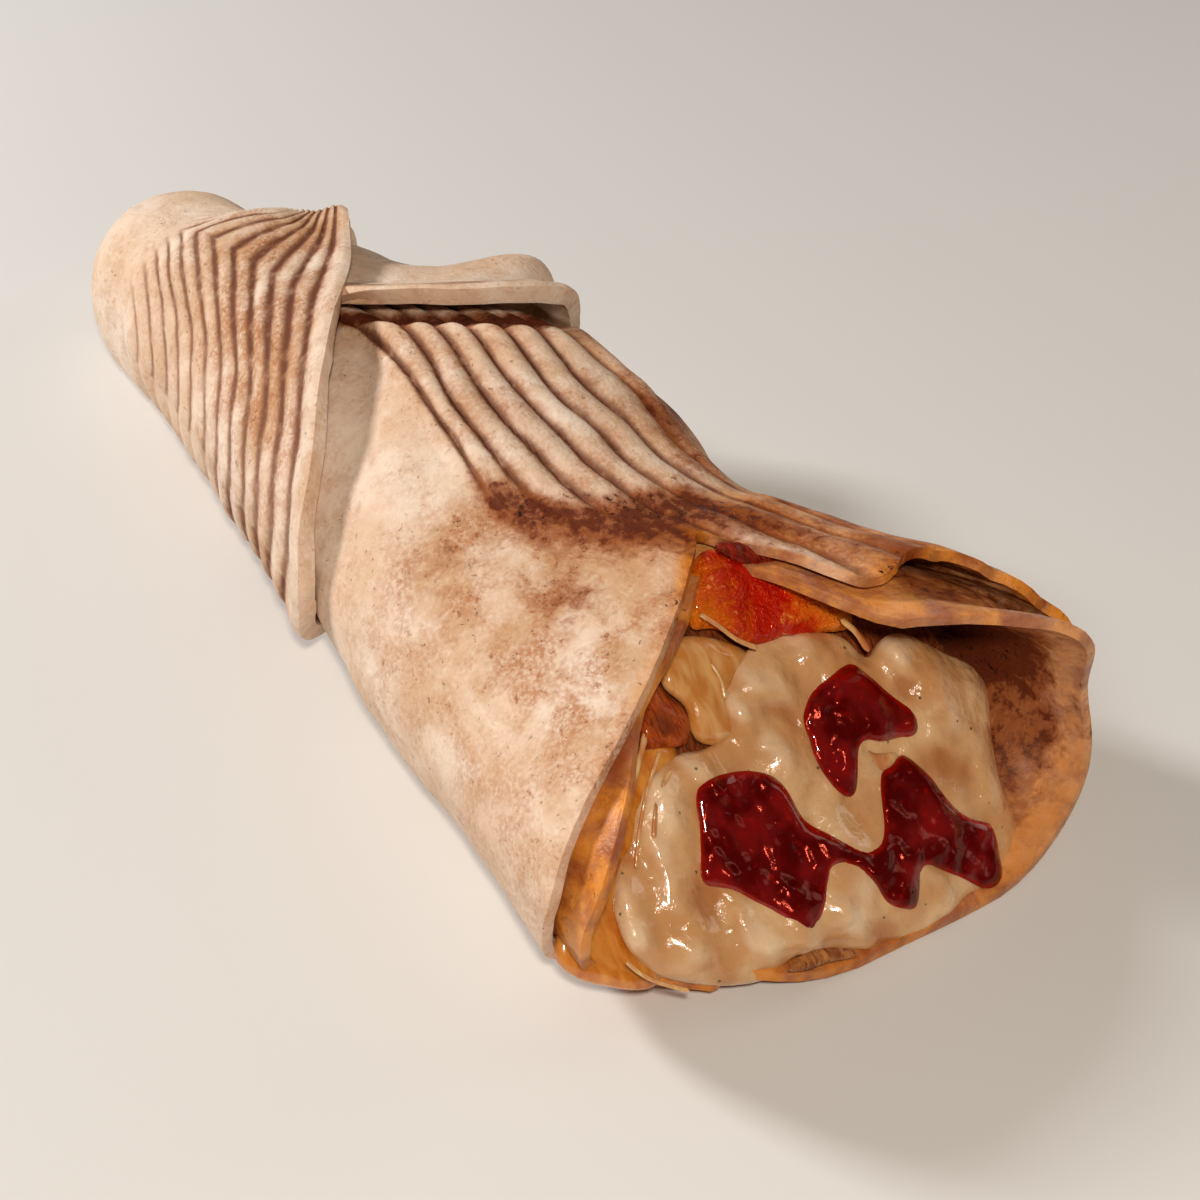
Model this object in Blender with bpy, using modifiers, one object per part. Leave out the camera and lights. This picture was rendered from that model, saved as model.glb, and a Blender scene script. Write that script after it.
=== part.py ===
"""A gyro wrap lying on its side, as handed over the counter.

One round flatbread is rolled twice round its filling, folded over the back and hooded over the tail, and its
mouth stands open on garlic sauce, chilli sauce, tomato, chicken and cabbage.
The wrap runs along +X from tail to mouth, +Y is its right side seen from the tail and +Z is up. The origin is
the middle of its footprint. The lengths below are millimetres, and metres() turns them to metres.
"""

import math

import bmesh
import bpy
import numpy as np
from mathutils import Matrix, Vector, noise
from mathutils.geometry import delaunay_2d_cdt

WRAP = "gyro_wrap"

# The flatbread.
BREAD = 2.6
LAYER_PITCH = 3.1
ROLL_START, ROLL_END, SEAM_STEP = -120.0, 600.0, 30.0
BODY_START = 24.0
TAIL_FLARE, TAIL_FLARE_LENGTH, TAIL_FLARE_ANGLE = 2.1, 9.0, -110.0
REST_HEIGHT, REST_FADE_START, REST_FADE_LENGTH = 3.4, 105.0, 60.0
ARCH_HEIGHT, ARCH_START, ARCH_END = 0.9, 22.0, 180.0

# Cross-sections of the rolled bread: distance from the tail, left and right half widths, and top height.
SECTIONS = (
    (22, 18.5, 15.0, 34.0),
    (40, 20.5, 19.5, 39.0),
    (60, 23.5, 26.0, 42.8),
    (85, 28.5, 36.0, 48.0),
    (110, 33.5, 43.5, 53.0),
    (130, 37.5, 42.0, 52.5),
    (150, 41.0, 37.5, 49.5),
    (175, 43.0, 45.0, 50.5),
    (200, 47.5, 54.5, 53.0),
    (232, 51.0, 58.0, 55.0),
)
WIDEST_SHARE = 0.46
TOP_POWER, BELLY_POWER = 2.1, 2.6
BELLY_FLAT = 1.5

# The mouth: how far from the tail each turn of bread ends at each angle, with a notch where they part on top.
NOTCH_ANGLE = 79.0
INNER_RIM = (
    (0, 222), (35, 224), (48, 221), (57, 216), (64, 211.5), (69, 207), (73, 196), (76, 185), (80, 177),
    (87, 180), (96, 186), (108, 192),
    (120, 197), (136, 208), (155, 215), (180, 215), (207, 212), (230, 216), (252, 225), (290, 232),
    (325, 228),
)
OUTER_EDGE = (
    (0, 217), (18, 214), (29, 207), (38, 200), (46, 196), (55, 198), (62, 202), (67, 202), (71, 195),
    (75, 182), (79, 174), (85, 177), (96, 185),
    (107, 191.5), (126, 200.5), (147, 206), (170, 209.5), (184, 208), (205, 205), (235, 205), (270, 207),
    (320, 210), (345, 214),
)
LIP_SAG, LIP_SAG_START, LIP_SAG_LENGTH = 2.9, 211.0, 13.0
LIP_SAG_END_ANGLE, LIP_SAG_FADE = 10.0, 50.0
SIDE_GAPE, SIDE_GAPE_ANGLE, SIDE_GAPE_WIDTH = 3.0, 38.0, 16.0
SIDE_GAPE_START, SIDE_GAPE_LENGTH = 180.0, 20.0
RIM_FLARE, RIM_FLARE_ANGLE, RIM_FLARE_WIDTH, RIM_FLARE_LENGTH = 4.2, 38.0, 20.0, 11.0
RIM_DROOP, RIM_DROOP_ANGLE, RIM_DROOP_WIDTH, RIM_DROOP_START, RIM_DROOP_LENGTH = 1.8, 69.0, 7.0, 184.0, 18.0
TURN_BLEND = 24.0

# The ridges that the grill pressed into the upper side: their angles at the tail end, and how far each leans
# round the wrap by the time it reaches the waist.
RIDGE_HEIGHT = 1.3
RIDGE_SPAN, LEAN_START = (84.0, 158.0), 110.0
RIDGE_FIRST, RIDGE_STEP, RIDGE_COUNT = 108.5, 7.0, 7
RIDGE_LEAN = ((-60, 0), (0, -10), (59, -18), (70, -11), (84, -4.5), (98, -1.5), (112, 0), (190, 0))

# The hood over the tail: a dome, then bread up to a lip that climbs from the peak round to the belly.
DOME_REACH = 22.0
DOME_SHARE = 0.28
HOOD_OFFSET, HOOD_OVER_FOLD = 3.4, 2.6
HOOD_RISE_START, HOOD_RISE_LENGTH, HOOD_RISE_FADE = 29.0, 14.0, 23.0
HOOD_LIP = (
    (0, 42), (35, 46), (50, 50), (63, 55), (74, 64), (91, 79), (106, 91), (130, 110),
    (152, 121), (170, 126), (190, 123), (220, 115), (270, 96), (310, 68), (335, 50),
)
PEAK_ANGLE, PEAK_WIDTH, PEAK_LIFT, PEAK_REACH = 66.0, 10.0, 4.0, 15.0

# The fold over the back, whose lip shows between the hood's peak and the right side.
FOLD_START, FOLD_OFFSET = 42.0, 2.4
FOLD_LIFT, FOLD_LIFT_LENGTH, FOLD_LIFT_END, FOLD_LIFT_FADE = 4.2, 22.0, 108.0, 14.0
FOLD_SPRING, FOLD_SPRING_LENGTH = 2.2, 7.0
FOLD_ANGLES = (-50.0, 118.0)
FOLD_LIP = (
    (-50, 80), (-25, 86), (0, 92), (20, 99), (40, 105), (56, 108), (67, 107), (76, 104.5), (84, 100.5),
    (91, 94.5), (100, 84.5), (118, 76),
)
PUFF_START, PUFF_ANGLE, PUFF_HEIGHT, PUFF_LENGTH, PUFF_WIDTH = 85.0, 30.0, 10.0, 9.0, 20.0

# The mouth's sloping face, where the filling shows. Outlines on it are (across, height) corners, and a piece
# stands out of it by so much along the wrap.
FACE_FOOT, FACE_SLOPE = 232.0, 1.0
FACE_MIDDLE = (3.0, 23.0)
CORE_START, CORE_ROUNDING, CORE_DEPTH = 17.0, 14.0, 9.0
CORE_SIDE_SHARE = 0.8
SIDE_HOLLOW, SIDE_HOLLOW_WIDTH, SIDE_HOLLOW_START, SIDE_HOLLOW_LENGTH = 6.0, 42.0, 185.0, 22.0
GAP, WALL_GAP, POOL_GAP = 0.35, 1.6, 0.5

WHITE_OUT, WHITE_LUMPS, WHITE_LUMP_SIZE, WHITE_FOOT = -2.0, 1.2, 13.0, 9.0
WHITE_BELLY, WHITE_BELLY_MIDDLE, WHITE_BELLY_SPREAD = 7.0, (8.0, 9.0), (30.0, 13.0)
WHITE_MESH, FINE_MESH = 4.2, 2.6
WHITE_RIM, POOL_RIM, CHUNK_RIM = 6.0, 2.2, 2.6
RIM_EDGE = 0.3
WHITE_OUTLINE = (
    (-20, 32), (-28, 27), (-35, 22), (-37, 15.5), (-31, 12), (-22, 11), (-12, 10.4), (-5, 8), (2, 5.2),
    (8, 5.2), (12, 7.2), (22, 7.2), (28, 5.6), (34, 7.5), (38, 12), (40.5, 19), (39, 27), (32, 32),
    (24, 33.6), (15, 35.4), (6, 36), (1.5, 34), (-3, 30.5), (-12, 31),
)
POOL_THICKNESS, POOL_LUMPS, CHUNK_LUMPS, FINE_LUMP_SIZE = 1.6, 0.4, 0.8, 5.0
LOWER_POOL = (
    (-14, 30), (-7, 29.5), (-2, 27), (0, 21.6), (2, 18.5), (6.5, 15.8), (10.5, 13.6), (15, 18), (18, 21.6),
    (24, 21), (27, 15.5), (30, 11), (31, 7.5), (26, 8), (20, 9.5), (16, 11), (13, 8), (9.5, 8.2), (6.5, 11.5),
    (3, 13.8), (-3, 13), (-7.5, 9.6), (-11, 11), (-14, 15), (-19.5, 19), (-19, 24),
)
UPPER_POOL = (
    (20, 33.6), (24, 30.8), (27, 25.5), (24.5, 23.8), (20, 24.2), (16, 26), (12.5, 22.5), (10, 20.1), (8, 24),
    (7.5, 30), (13, 33),
)
TOMATO_OUTLINE = (
    (-1.5, 37), (5, 37.4), (15, 36.8), (25, 34.8), (30, 35.2), (26, 39.4), (18, 42), (8, 43.6), (-2, 43.4),
)
CABBAGE_OUTLINE = ((-10, 42.3), (-4, 42.8), (-3, 38), (-0.5, 35.5), (-4, 32.4), (-11, 32.8), (-11.5, 37))
CHICKEN_OUTLINE = ((-18, 41), (-13, 41.3), (-13.2, 34), (-20, 33.5), (-22.5, 37))
SCRAP_OUTLINE = ((9, 4.7), (12, 6), (21, 6), (25, 4.6), (17, 3.9))
CHUNKS = {
    "tomato": (TOMATO_OUTLINE, 2.0),
    "cabbage": (CABBAGE_OUTLINE, -1.0),
    "chicken_piece": (CHICKEN_OUTLINE, -1.5),
    "bread_scrap": (SCRAP_OUTLINE, 1.5),
}

# Each piece's colour and roughness.
FINISHES = {
    "flatbread": ((0.78, 0.62, 0.42), 0.7),
    "filling": ((0.35, 0.16, 0.06), 0.5),
    "white_sauce": ((0.72, 0.62, 0.48), 0.25),
    "chilli_sauce_lower": ((0.28, 0.01, 0.005), 0.15),
    "chilli_sauce_upper": ((0.28, 0.01, 0.005), 0.15),
    "tomato": ((0.6, 0.13, 0.02), 0.25),
    "cabbage": ((0.7, 0.55, 0.28), 0.3),
    "chicken_piece": ((0.42, 0.14, 0.04), 0.4),
    "bread_scrap": ((0.5, 0.28, 0.12), 0.6),
}


def metres(point):
    """A point in millimetres as a Vector in Blender's metres."""
    return Vector(point) * 0.001


def smooth(t):
    """The smooth step from 0 to 1."""
    t = min(1.0, max(0.0, t))
    return t * t * (3.0 - 2.0 * t)


def curve_through(rows, column, x):
    """A smooth curve through one column of a table, read at x."""
    keys = [row[0] for row in rows]
    values = [row[column] for row in rows]
    slopes = np.gradient(values, keys)
    x = min(max(x, keys[0]), keys[-1])
    i = min(max(int(np.searchsorted(keys, x)) - 1, 0), len(keys) - 2)
    width = keys[i + 1] - keys[i]
    t = (x - keys[i]) / width
    return (
        (2 * t**3 - 3 * t**2 + 1) * values[i]
        + (t**3 - 2 * t**2 + t) * width * slopes[i]
        + (3 * t**2 - 2 * t**3) * values[i + 1]
        + (t**3 - t**2) * width * slopes[i + 1]
    )


def ring_through(rows, angle):
    """The same round a full turn, for a table of (angle, value)."""
    last, first = rows[-1], rows[0]
    wrapped = ((last[0] - 360, last[1]), *rows, (first[0] + 360, first[1]))
    return curve_through(wrapped, 1, (angle - first[0]) % 360 + first[0])


def graded(count, start, end, focus, spread, crowd):
    """count + 1 values from start to end that crowd round the focus."""
    fine = np.linspace(start, end, 600)
    weight = 1.0 + crowd * np.exp(-(((fine - focus) / spread) ** 2))
    share = np.concatenate(([0.0], np.cumsum((weight[1:] + weight[:-1]) / 2)))
    return np.interp(np.linspace(0.0, share[-1], count + 1), share, fine)


def section_at(x):
    """The rolled bread's section: its centre across, half width, top, widest height and underside.

    The underside is raised by the hood's bread at the tail, and arched a little, so that the wrap lies on its
    tail and on the flat under its mouth.
    """
    left, right, top = (curve_through(SECTIONS, column, x) for column in (1, 2, 3))
    underside = REST_HEIGHT * (1.0 - smooth((x - REST_FADE_START) / REST_FADE_LENGTH))
    from_middle = (2.0 * x - ARCH_START - ARCH_END) / (ARCH_END - ARCH_START)
    underside += ARCH_HEIGHT * max(0.0, 1.0 - from_middle**2)
    return (right - left) / 2, (right + left) / 2, top, WIDEST_SHARE * top, underside


def on_wrap(x, angle, offset):
    """A point at offset outside the rolled bread's outer face. The angle is 0 at +Y and 90 on top."""
    centre, half, top, widest, underside = section_at(x)
    across, up = math.cos(math.radians(angle)), math.sin(math.radians(angle))
    power = TOP_POWER if up >= 0 else BELLY_POWER
    height = top - widest if up >= 0 else widest - underside + BELLY_FLAT
    y = centre + math.copysign(abs(across) ** (2 / power), across) * (half + offset)
    z = widest + math.copysign(abs(up) ** (2 / power), up) * (height + offset)
    return Vector((x, y, max(z, underside - offset, 0.0)))


def lean_at(x, angle):
    """How far round the wrap a line of the sheet has leant by x, so that it follows the ridges."""
    along = min(1.0, max(0.0, (x - LEAN_START) / (RIDGE_SPAN[1] - LEAN_START)))
    return along * curve_through(RIDGE_LEAN, 1, angle)


def ridge_height(x, angle):
    """The grill's ridges on the upper side, on the sheet's own lines."""
    along = (x - RIDGE_SPAN[0]) / (RIDGE_SPAN[1] - RIDGE_SPAN[0])
    number = (RIDGE_FIRST - angle) / RIDGE_STEP
    span = smooth(along * 6.0 + 1.0) * smooth((1.0 - along) * 5.0)
    side = smooth(number + 0.5) * smooth(RIDGE_COUNT + 0.5 - number)
    return RIDGE_HEIGHT * math.cos(math.pi * number) ** 2 * span * side


def rim_droop(x, angle):
    """How far the bread droops into the mouth beside the notch."""
    beside = math.exp(-(((angle - RIM_DROOP_ANGLE) / RIM_DROOP_WIDTH) ** 2))
    return RIM_DROOP * beside * smooth((x - RIM_DROOP_START) / RIM_DROOP_LENGTH)


def roll_offset(x, angle):
    """How far the rolled sheet's outer face lies inside the wrap's own, and its flare into the hood."""
    rolled = angle - ROLL_START
    covered = 2.0 - smooth(rolled / SEAM_STEP) - smooth((rolled - 360.0) / SEAM_STEP)
    offset = -LAYER_PITCH * covered
    second_turn = angle - 360.0
    if second_turn > ROLL_START:
        flared = smooth((second_turn - TAIL_FLARE_ANGLE) / SEAM_STEP)
        offset += TAIL_FLARE * flared * (1.0 - smooth((x - BODY_START) / TAIL_FLARE_LENGTH))
        gape = math.exp(-(((second_turn + lean_at(x, second_turn) - SIDE_GAPE_ANGLE) / SIDE_GAPE_WIDTH) ** 2))
        offset += SIDE_GAPE * gape * smooth((x - SIDE_GAPE_START) / SIDE_GAPE_LENGTH)
        offset -= rim_droop(x, second_turn + lean_at(x, second_turn))
        offset += ridge_height(x, second_turn)
    else:
        underneath = smooth((angle - ROLL_START - 2.0) / SEAM_STEP)
        underneath *= smooth((LIP_SAG_END_ANGLE - angle) / LIP_SAG_FADE)
        offset += LIP_SAG * underneath * smooth((x - LIP_SAG_START) / LIP_SAG_LENGTH)
        to_rim = ring_through(INNER_RIM, angle) - x
        flared = math.exp(-(((angle - RIM_FLARE_ANGLE) / RIM_FLARE_WIDTH) ** 2))
        offset += RIM_FLARE * flared * smooth((RIM_FLARE_LENGTH - to_rim) / RIM_FLARE_LENGTH)
        offset -= rim_droop(x, angle)
    return offset


def sheet(name, lengthways, crossways, place):
    """An open sheet: a grid whose points go where place(u, v) says, with its outer face out."""
    mesh = bmesh.new()
    bmesh.ops.create_grid(mesh, x_segments=len(lengthways) - 1, y_segments=len(crossways) - 1, size=0.5)
    for vert in mesh.verts:
        row = round((vert.co.x + 0.5) * (len(lengthways) - 1))
        column = round((vert.co.y + 0.5) * (len(crossways) - 1))
        vert.co = metres(place(lengthways[row], crossways[column]))
    bmesh.ops.reverse_faces(mesh, faces=mesh.faces)
    bmesh.ops.remove_doubles(mesh, verts=mesh.verts, dist=0.00005)
    return finished(name, mesh)


def finished(name, mesh):
    """A new object that holds the mesh, in the wrap's collection."""
    data = bpy.data.meshes.new(name)
    mesh.to_mesh(data)
    mesh.free()
    piece = bpy.data.objects.new(name, data)
    bpy.data.collections[WRAP].objects.link(piece)
    return piece


def thicken(piece):
    """Gives an open sheet of bread its thickness, inwards from its outer face."""
    solid = piece.modifiers.new("bread_thickness", "SOLIDIFY")
    solid.thickness = BREAD * 0.001
    solid.offset = -1.0
    return piece


def apply_modifiers(piece):
    """Replaces a piece's mesh with what its modifiers make of it."""
    graph = bpy.context.evaluated_depsgraph_get()
    data = bpy.data.meshes.new_from_object(piece.evaluated_get(graph))
    piece.modifiers.clear()
    piece.data = data


def rolled_sheet():
    """The bread's two turns round the filling, as one spiral."""
    first_end = ROLL_START + 360.0

    def place(share, angle):
        turned = smooth((angle - first_end) / TURN_BLEND)
        line = angle - 360.0
        leant = angle + turned * lean_at(RIDGE_SPAN[1], line)
        rim, edge = ring_through(INNER_RIM, leant), ring_through(OUTER_EDGE, leant)
        x = BODY_START + (rim + (edge - rim) * turned - BODY_START) * share
        return on_wrap(x, angle + turned * lean_at(x, line), roll_offset(x, angle))

    lengthways = graded(18, 0.0, 1.0, 0.78, 0.3, 0.8)
    inner = graded(27, ROLL_START, first_end, NOTCH_ANGLE, 16.0, 3.0)
    last_ridge = 360.0 + RIDGE_FIRST - RIDGE_STEP * (RIDGE_COUNT + 0.5)
    ridges = last_ridge + RIDGE_STEP / 2 * np.arange(2 * RIDGE_COUNT + 3)
    before = np.linspace(first_end, ridges[0], 14)[1:-1]
    after = np.linspace(ridges[-1], ROLL_END, 15)[1:]
    return thicken(sheet("rolled_sheet", lengthways, np.concatenate((inner, before, ridges, after)), place))


def fold_offset(x, angle, lip):
    """The back fold's outer face: it springs from the hood's wall and lifts towards its lip."""
    springing = FOLD_SPRING * (1.0 - smooth((x - FOLD_START) / FOLD_SPRING_LENGTH))
    puff = ((x - PUFF_START) / PUFF_LENGTH) ** 2 + ((angle - PUFF_ANGLE) / PUFF_WIDTH) ** 2
    lifted = FOLD_LIFT * smooth((x - lip + FOLD_LIFT_LENGTH) / FOLD_LIFT_LENGTH)
    lifted *= smooth((FOLD_LIFT_END - angle) / FOLD_LIFT_FADE)
    return FOLD_OFFSET + springing + PUFF_HEIGHT * math.exp(-puff) + lifted


def back_fold():
    """The flap of bread folded over the back, whose lip stands clear of the ridges."""

    def place(share, angle):
        lip = curve_through(FOLD_LIP, 1, angle)
        x = FOLD_START + (lip - FOLD_START) * share
        return on_wrap(x, angle, fold_offset(x, angle, lip))

    return thicken(sheet("back_fold", np.linspace(0.0, 1.0, 9), np.linspace(*FOLD_ANGLES, 18), place))


def hood_offset(x, angle, lip):
    """The hood's outer face: raised where it lies on the back fold, and drawn up to a point at its peak."""
    wrapped = (angle + 180.0) % 360.0 - 180.0
    on_fold = smooth((x - HOOD_RISE_START) / HOOD_RISE_LENGTH)
    on_fold *= smooth((wrapped - FOLD_ANGLES[0]) / HOOD_RISE_FADE + 1.1)
    on_fold *= smooth((FOLD_ANGLES[1] - wrapped) / HOOD_RISE_FADE + 1.1)
    peak = math.exp(-(((wrapped - PEAK_ANGLE) / PEAK_WIDTH) ** 2))
    lifted = PEAK_LIFT * peak * smooth((x - lip + PEAK_REACH) / PEAK_REACH) ** 1.5
    return HOOD_OFFSET + HOOD_OVER_FOLD * on_fold + lifted


def tail_hood():
    """The bread drawn over the tail as a hood: a dome, then a sleeve out to its lip."""

    def place(share, angle):
        lip = ring_through(HOOD_LIP, angle)
        if share <= DOME_SHARE:
            turn = share / DOME_SHARE * math.pi / 2
            offset = hood_offset(DOME_REACH, angle, lip)
            ring = on_wrap(DOME_REACH, angle, offset)
            centre, _, _, widest, _ = section_at(DOME_REACH)
            middle = Vector((DOME_REACH, centre, widest))
            spread = (ring - middle) * math.sin(turn)
            return middle + spread - Vector(((DOME_REACH + HOOD_OFFSET) * math.cos(turn), 0, 0))
        x = DOME_REACH + (lip - DOME_REACH) * (share - DOME_SHARE) / (1.0 - DOME_SHARE)
        return on_wrap(x, angle, hood_offset(x, angle, lip))

    lengthways = np.concatenate((np.linspace(0.0, DOME_SHARE, 6), np.linspace(DOME_SHARE, 1.0, 12)[1:]))
    return thicken(sheet("tail_hood", lengthways, np.linspace(0.0, 360.0, 33), place))


def fill_pockets(piece):
    """Fills any pocket that was shut in between the layers, by keeping the outermost shell alone."""
    mesh = bmesh.new()
    mesh.from_mesh(piece.data)
    unseen, shells = set(mesh.verts), []
    while unseen:
        shell, edge = set(), {next(iter(unseen))}
        while edge:
            shell |= edge
            edge = {link.other_vert(vert) for vert in edge for link in vert.link_edges} - shell
        shells.append(shell)
        unseen -= shell
    outermost = max(shells, key=len)
    bmesh.ops.delete(mesh, geom=[vert for vert in mesh.verts if vert not in outermost], context="VERTS")
    bmesh.ops.triangulate(mesh, faces=mesh.faces)
    mesh.to_mesh(piece.data)
    mesh.free()


def flatbread():
    """Rolled sheet, back fold and hood, which are one sheet of bread, joined into one solid."""
    body, fold, hood = rolled_sheet(), back_fold(), tail_hood()
    for piece in (body, fold, hood):
        apply_modifiers(piece)
    flaps = bpy.data.collections.new("flaps")
    for piece in (fold, hood):
        bpy.data.collections[WRAP].objects.unlink(piece)
        flaps.objects.link(piece)
    union = body.modifiers.new("one_sheet", "BOOLEAN")
    union.operation = "UNION"
    union.operand_type = "COLLECTION"
    union.collection = flaps
    apply_modifiers(body)
    for piece in (fold, hood):
        bpy.data.objects.remove(piece)
    bpy.data.collections.remove(flaps)
    fill_pockets(body)
    body.name = body.data.name = "flatbread"
    return body


def on_face(across, height, out):
    """A point by its place on the mouth's sloping face, and how far it stands out of that face."""
    return Vector((FACE_FOOT - FACE_SLOPE * height + out, across, height))


def core_offset(x, angle):
    """The filling's surface: just inside both turns of bread, and clear of the right wall at the mouth."""
    turn = (angle - ROLL_START) % 360.0
    step = max(1.0 - smooth((turn - 4.0) / SEAM_STEP), smooth((turn - 335.0) / 20.0))
    across = (angle + 180.0) % 360.0 - 180.0
    hollow = SIDE_HOLLOW * math.exp(-((across / SIDE_HOLLOW_WIDTH) ** 2))
    hollow *= smooth((x - SIDE_HOLLOW_START) / SIDE_HOLLOW_LENGTH)
    return -LAYER_PITCH * (1.0 + step) - BREAD - WALL_GAP - hollow


def core_end(angle):
    """Where the filling's side meets its end face at this angle."""
    near, far = BODY_START, FACE_FOOT
    for _ in range(30):
        middle = (near + far) / 2
        point = on_wrap(middle, angle, core_offset(middle, angle))
        if point.x > on_face(point.y, point.z, -CORE_DEPTH).x:
            far = middle
        else:
            near = middle
    return near


def filling_core():
    """The meat and salad that the bread is rolled round, from a rounded tail to its end face at the mouth."""

    def place(share, angle):
        if share <= CORE_SIDE_SHARE:
            x = CORE_START + (core_end(angle) - CORE_START) * share / CORE_SIDE_SHARE
            ring = on_wrap(x, angle, core_offset(x, angle))
            centre, _, _, widest, _ = section_at(x)
            axis = Vector((x, centre, widest))
            rounding = math.sqrt(1.0 - (1.0 - min(1.0, (x - CORE_START) / CORE_ROUNDING)) ** 2)
            return axis + (ring - axis) * rounding
        spread = 1.0 - (share - CORE_SIDE_SHARE) / (1.0 - CORE_SIDE_SHARE)
        end = core_end(angle)
        rim = on_wrap(end, angle, core_offset(end, angle))
        across = FACE_MIDDLE[0] + (rim.y - FACE_MIDDLE[0]) * spread
        height = FACE_MIDDLE[1] + (rim.z - FACE_MIDDLE[1]) * spread
        return on_face(across, height, -CORE_DEPTH)

    side = graded(16, 0.0, CORE_SIDE_SHARE, 0.0, 0.08, 2.0)
    lengthways = np.concatenate((side, np.linspace(CORE_SIDE_SHARE, 1.0, 4)[1:]))
    return sheet("filling", lengthways, np.linspace(ROLL_START, ROLL_START + 360.0, 31), place)


def rounded_loop(corners, spacing):
    """A closed smooth curve through the corners, as points about the spacing apart."""
    loop = []
    corners = np.array(corners, float)
    for before, start, end, beyond in zip(*(np.roll(corners, shift, axis=0) for shift in (1, 0, -1, -2))):
        leave, arrive = (end - before) / 2, (beyond - start) / 2
        steps = max(1, round(np.linalg.norm(end - start) / spacing))
        for t in np.arange(steps) / steps:
            loop.append(
                (2 * t**3 - 3 * t**2 + 1) * start
                + (t**3 - 2 * t**2 + t) * leave
                + (3 * t**2 - 2 * t**3) * end
                + (t**3 - t**2) * arrive
            )
    return np.array(loop)


def inset_of(point, loop):
    """How far inside a closed loop a point lies, or 0 outside it."""
    starts, ends = loop, np.roll(loop, -1, axis=0)
    along = ends - starts
    share = np.clip(((point - starts) * along).sum(1) / (along**2).sum(1), 0.0, 1.0)
    nearest = np.linalg.norm(starts + along * share[:, None] - point, axis=1).min()
    crossing = (starts[:, 1] > point[1]) != (ends[:, 1] > point[1])
    rise = np.where(crossing, ends[:, 1] - starts[:, 1], 1.0)
    crossed_at = starts[:, 0] + (point[1] - starts[:, 1]) / rise * along[:, 0]
    return nearest if np.count_nonzero(crossing & (crossed_at > point[0])) % 2 else 0.0


def domed(bottom, top, loop, rim):
    """A surface that rises from the bottom at a closed loop to the top, over a rounded rim of this width."""

    def surface(across, height):
        inset = min(1.0, inset_of(np.array((across, height)), loop) / rim)
        rounding = RIM_EDGE + (1.0 - RIM_EDGE) * math.sqrt(1.0 - (1.0 - inset) ** 2)
        return bottom(across, height) + (top(across, height) - bottom(across, height)) * rounding

    return surface


def lump(name, loop, spacing, bottom, surface):
    """A closed piece on the mouth's face: a filled loop, drawn out from the bottom to the surface."""
    low, high = loop.min(0), loop.max(0)
    points = [Vector(point) for point in loop]
    for row, height in enumerate(np.arange(low[1], high[1], spacing * 0.87)):
        for across in np.arange(low[0] + spacing * 0.5 * (row % 2), high[0], spacing):
            if inset_of(np.array((across, height)), loop) > spacing * 0.5:
                points.append(Vector((across, height)))
    flat, _, faces, _, _, _ = delaunay_2d_cdt(points, [], [list(range(len(loop)))], 1, 1e-4)
    mesh = bmesh.new()
    verts = [mesh.verts.new(metres(on_face(point.x, point.y, bottom(point.x, point.y)))) for point in flat]
    for face in faces:
        mesh.faces.new([verts[i] for i in face])
    drawn = bmesh.ops.extrude_face_region(mesh, geom=list(mesh.faces))["geom"]
    for vert in (item for item in drawn if isinstance(item, bmesh.types.BMVert)):
        across, height = vert.co.y * 1000.0, vert.co.z * 1000.0
        vert.co = metres(on_face(across, height, surface(across, height)))
    bmesh.ops.recalc_face_normals(mesh, faces=mesh.faces)
    if mesh.calc_volume(signed=True) < 0:
        bmesh.ops.reverse_faces(mesh, faces=mesh.faces)
    return finished(name, mesh)


def on_core(across, height):
    """Where a piece that lies on the filling's end face begins."""
    return GAP - CORE_DEPTH


def bumps(across, height, size, seed):
    """Even, gentle lumps of about this size, from -1 to 1."""
    return noise.noise(Vector((across / size, height / size, seed)))


def white_bottom(across, height):
    """The garlic sauce's underside, which steps forward over the lower lip."""
    return on_core(across, height) + max(0.0, WHITE_FOOT - height)


def white_top(across, height):
    """The garlic sauce's surface, which bellies out over the lower lip."""
    sideways = (across - WHITE_BELLY_MIDDLE[0]) / WHITE_BELLY_SPREAD[0]
    upwards = (height - WHITE_BELLY_MIDDLE[1]) / WHITE_BELLY_SPREAD[1]
    belly = WHITE_BELLY * math.exp(-(sideways**2) - upwards**2)
    return WHITE_OUT + belly + WHITE_LUMPS * bumps(across, height, WHITE_LUMP_SIZE, 2.0)


def face_pieces():
    """The pieces that show at the mouth, each on the filling or on the garlic sauce."""
    white_loop = rounded_loop(WHITE_OUTLINE, WHITE_MESH)
    white_surface = domed(white_bottom, white_top, white_loop, WHITE_RIM)
    lump("white_sauce", white_loop, WHITE_MESH, white_bottom, white_surface)

    def pool_bottom(across, height):
        return white_surface(across, height) + POOL_GAP

    def pool_top(across, height):
        lumps = POOL_LUMPS * bumps(across, height, FINE_LUMP_SIZE, 7.0)
        return pool_bottom(across, height) + POOL_THICKNESS + lumps

    for name, outline in (("chilli_sauce_lower", LOWER_POOL), ("chilli_sauce_upper", UPPER_POOL)):
        loop = rounded_loop(outline, FINE_MESH)
        lump(name, loop, FINE_MESH, pool_bottom, domed(pool_bottom, pool_top, loop, POOL_RIM))
    for name, (outline, out) in CHUNKS.items():
        loop = rounded_loop(outline, FINE_MESH)

        def chunk_top(across, height, out=out):
            return out + CHUNK_LUMPS * bumps(across, height, FINE_LUMP_SIZE, out)

        lump(name, loop, FINE_MESH, on_core, domed(on_core, chunk_top, loop, CHUNK_RIM))


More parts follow.
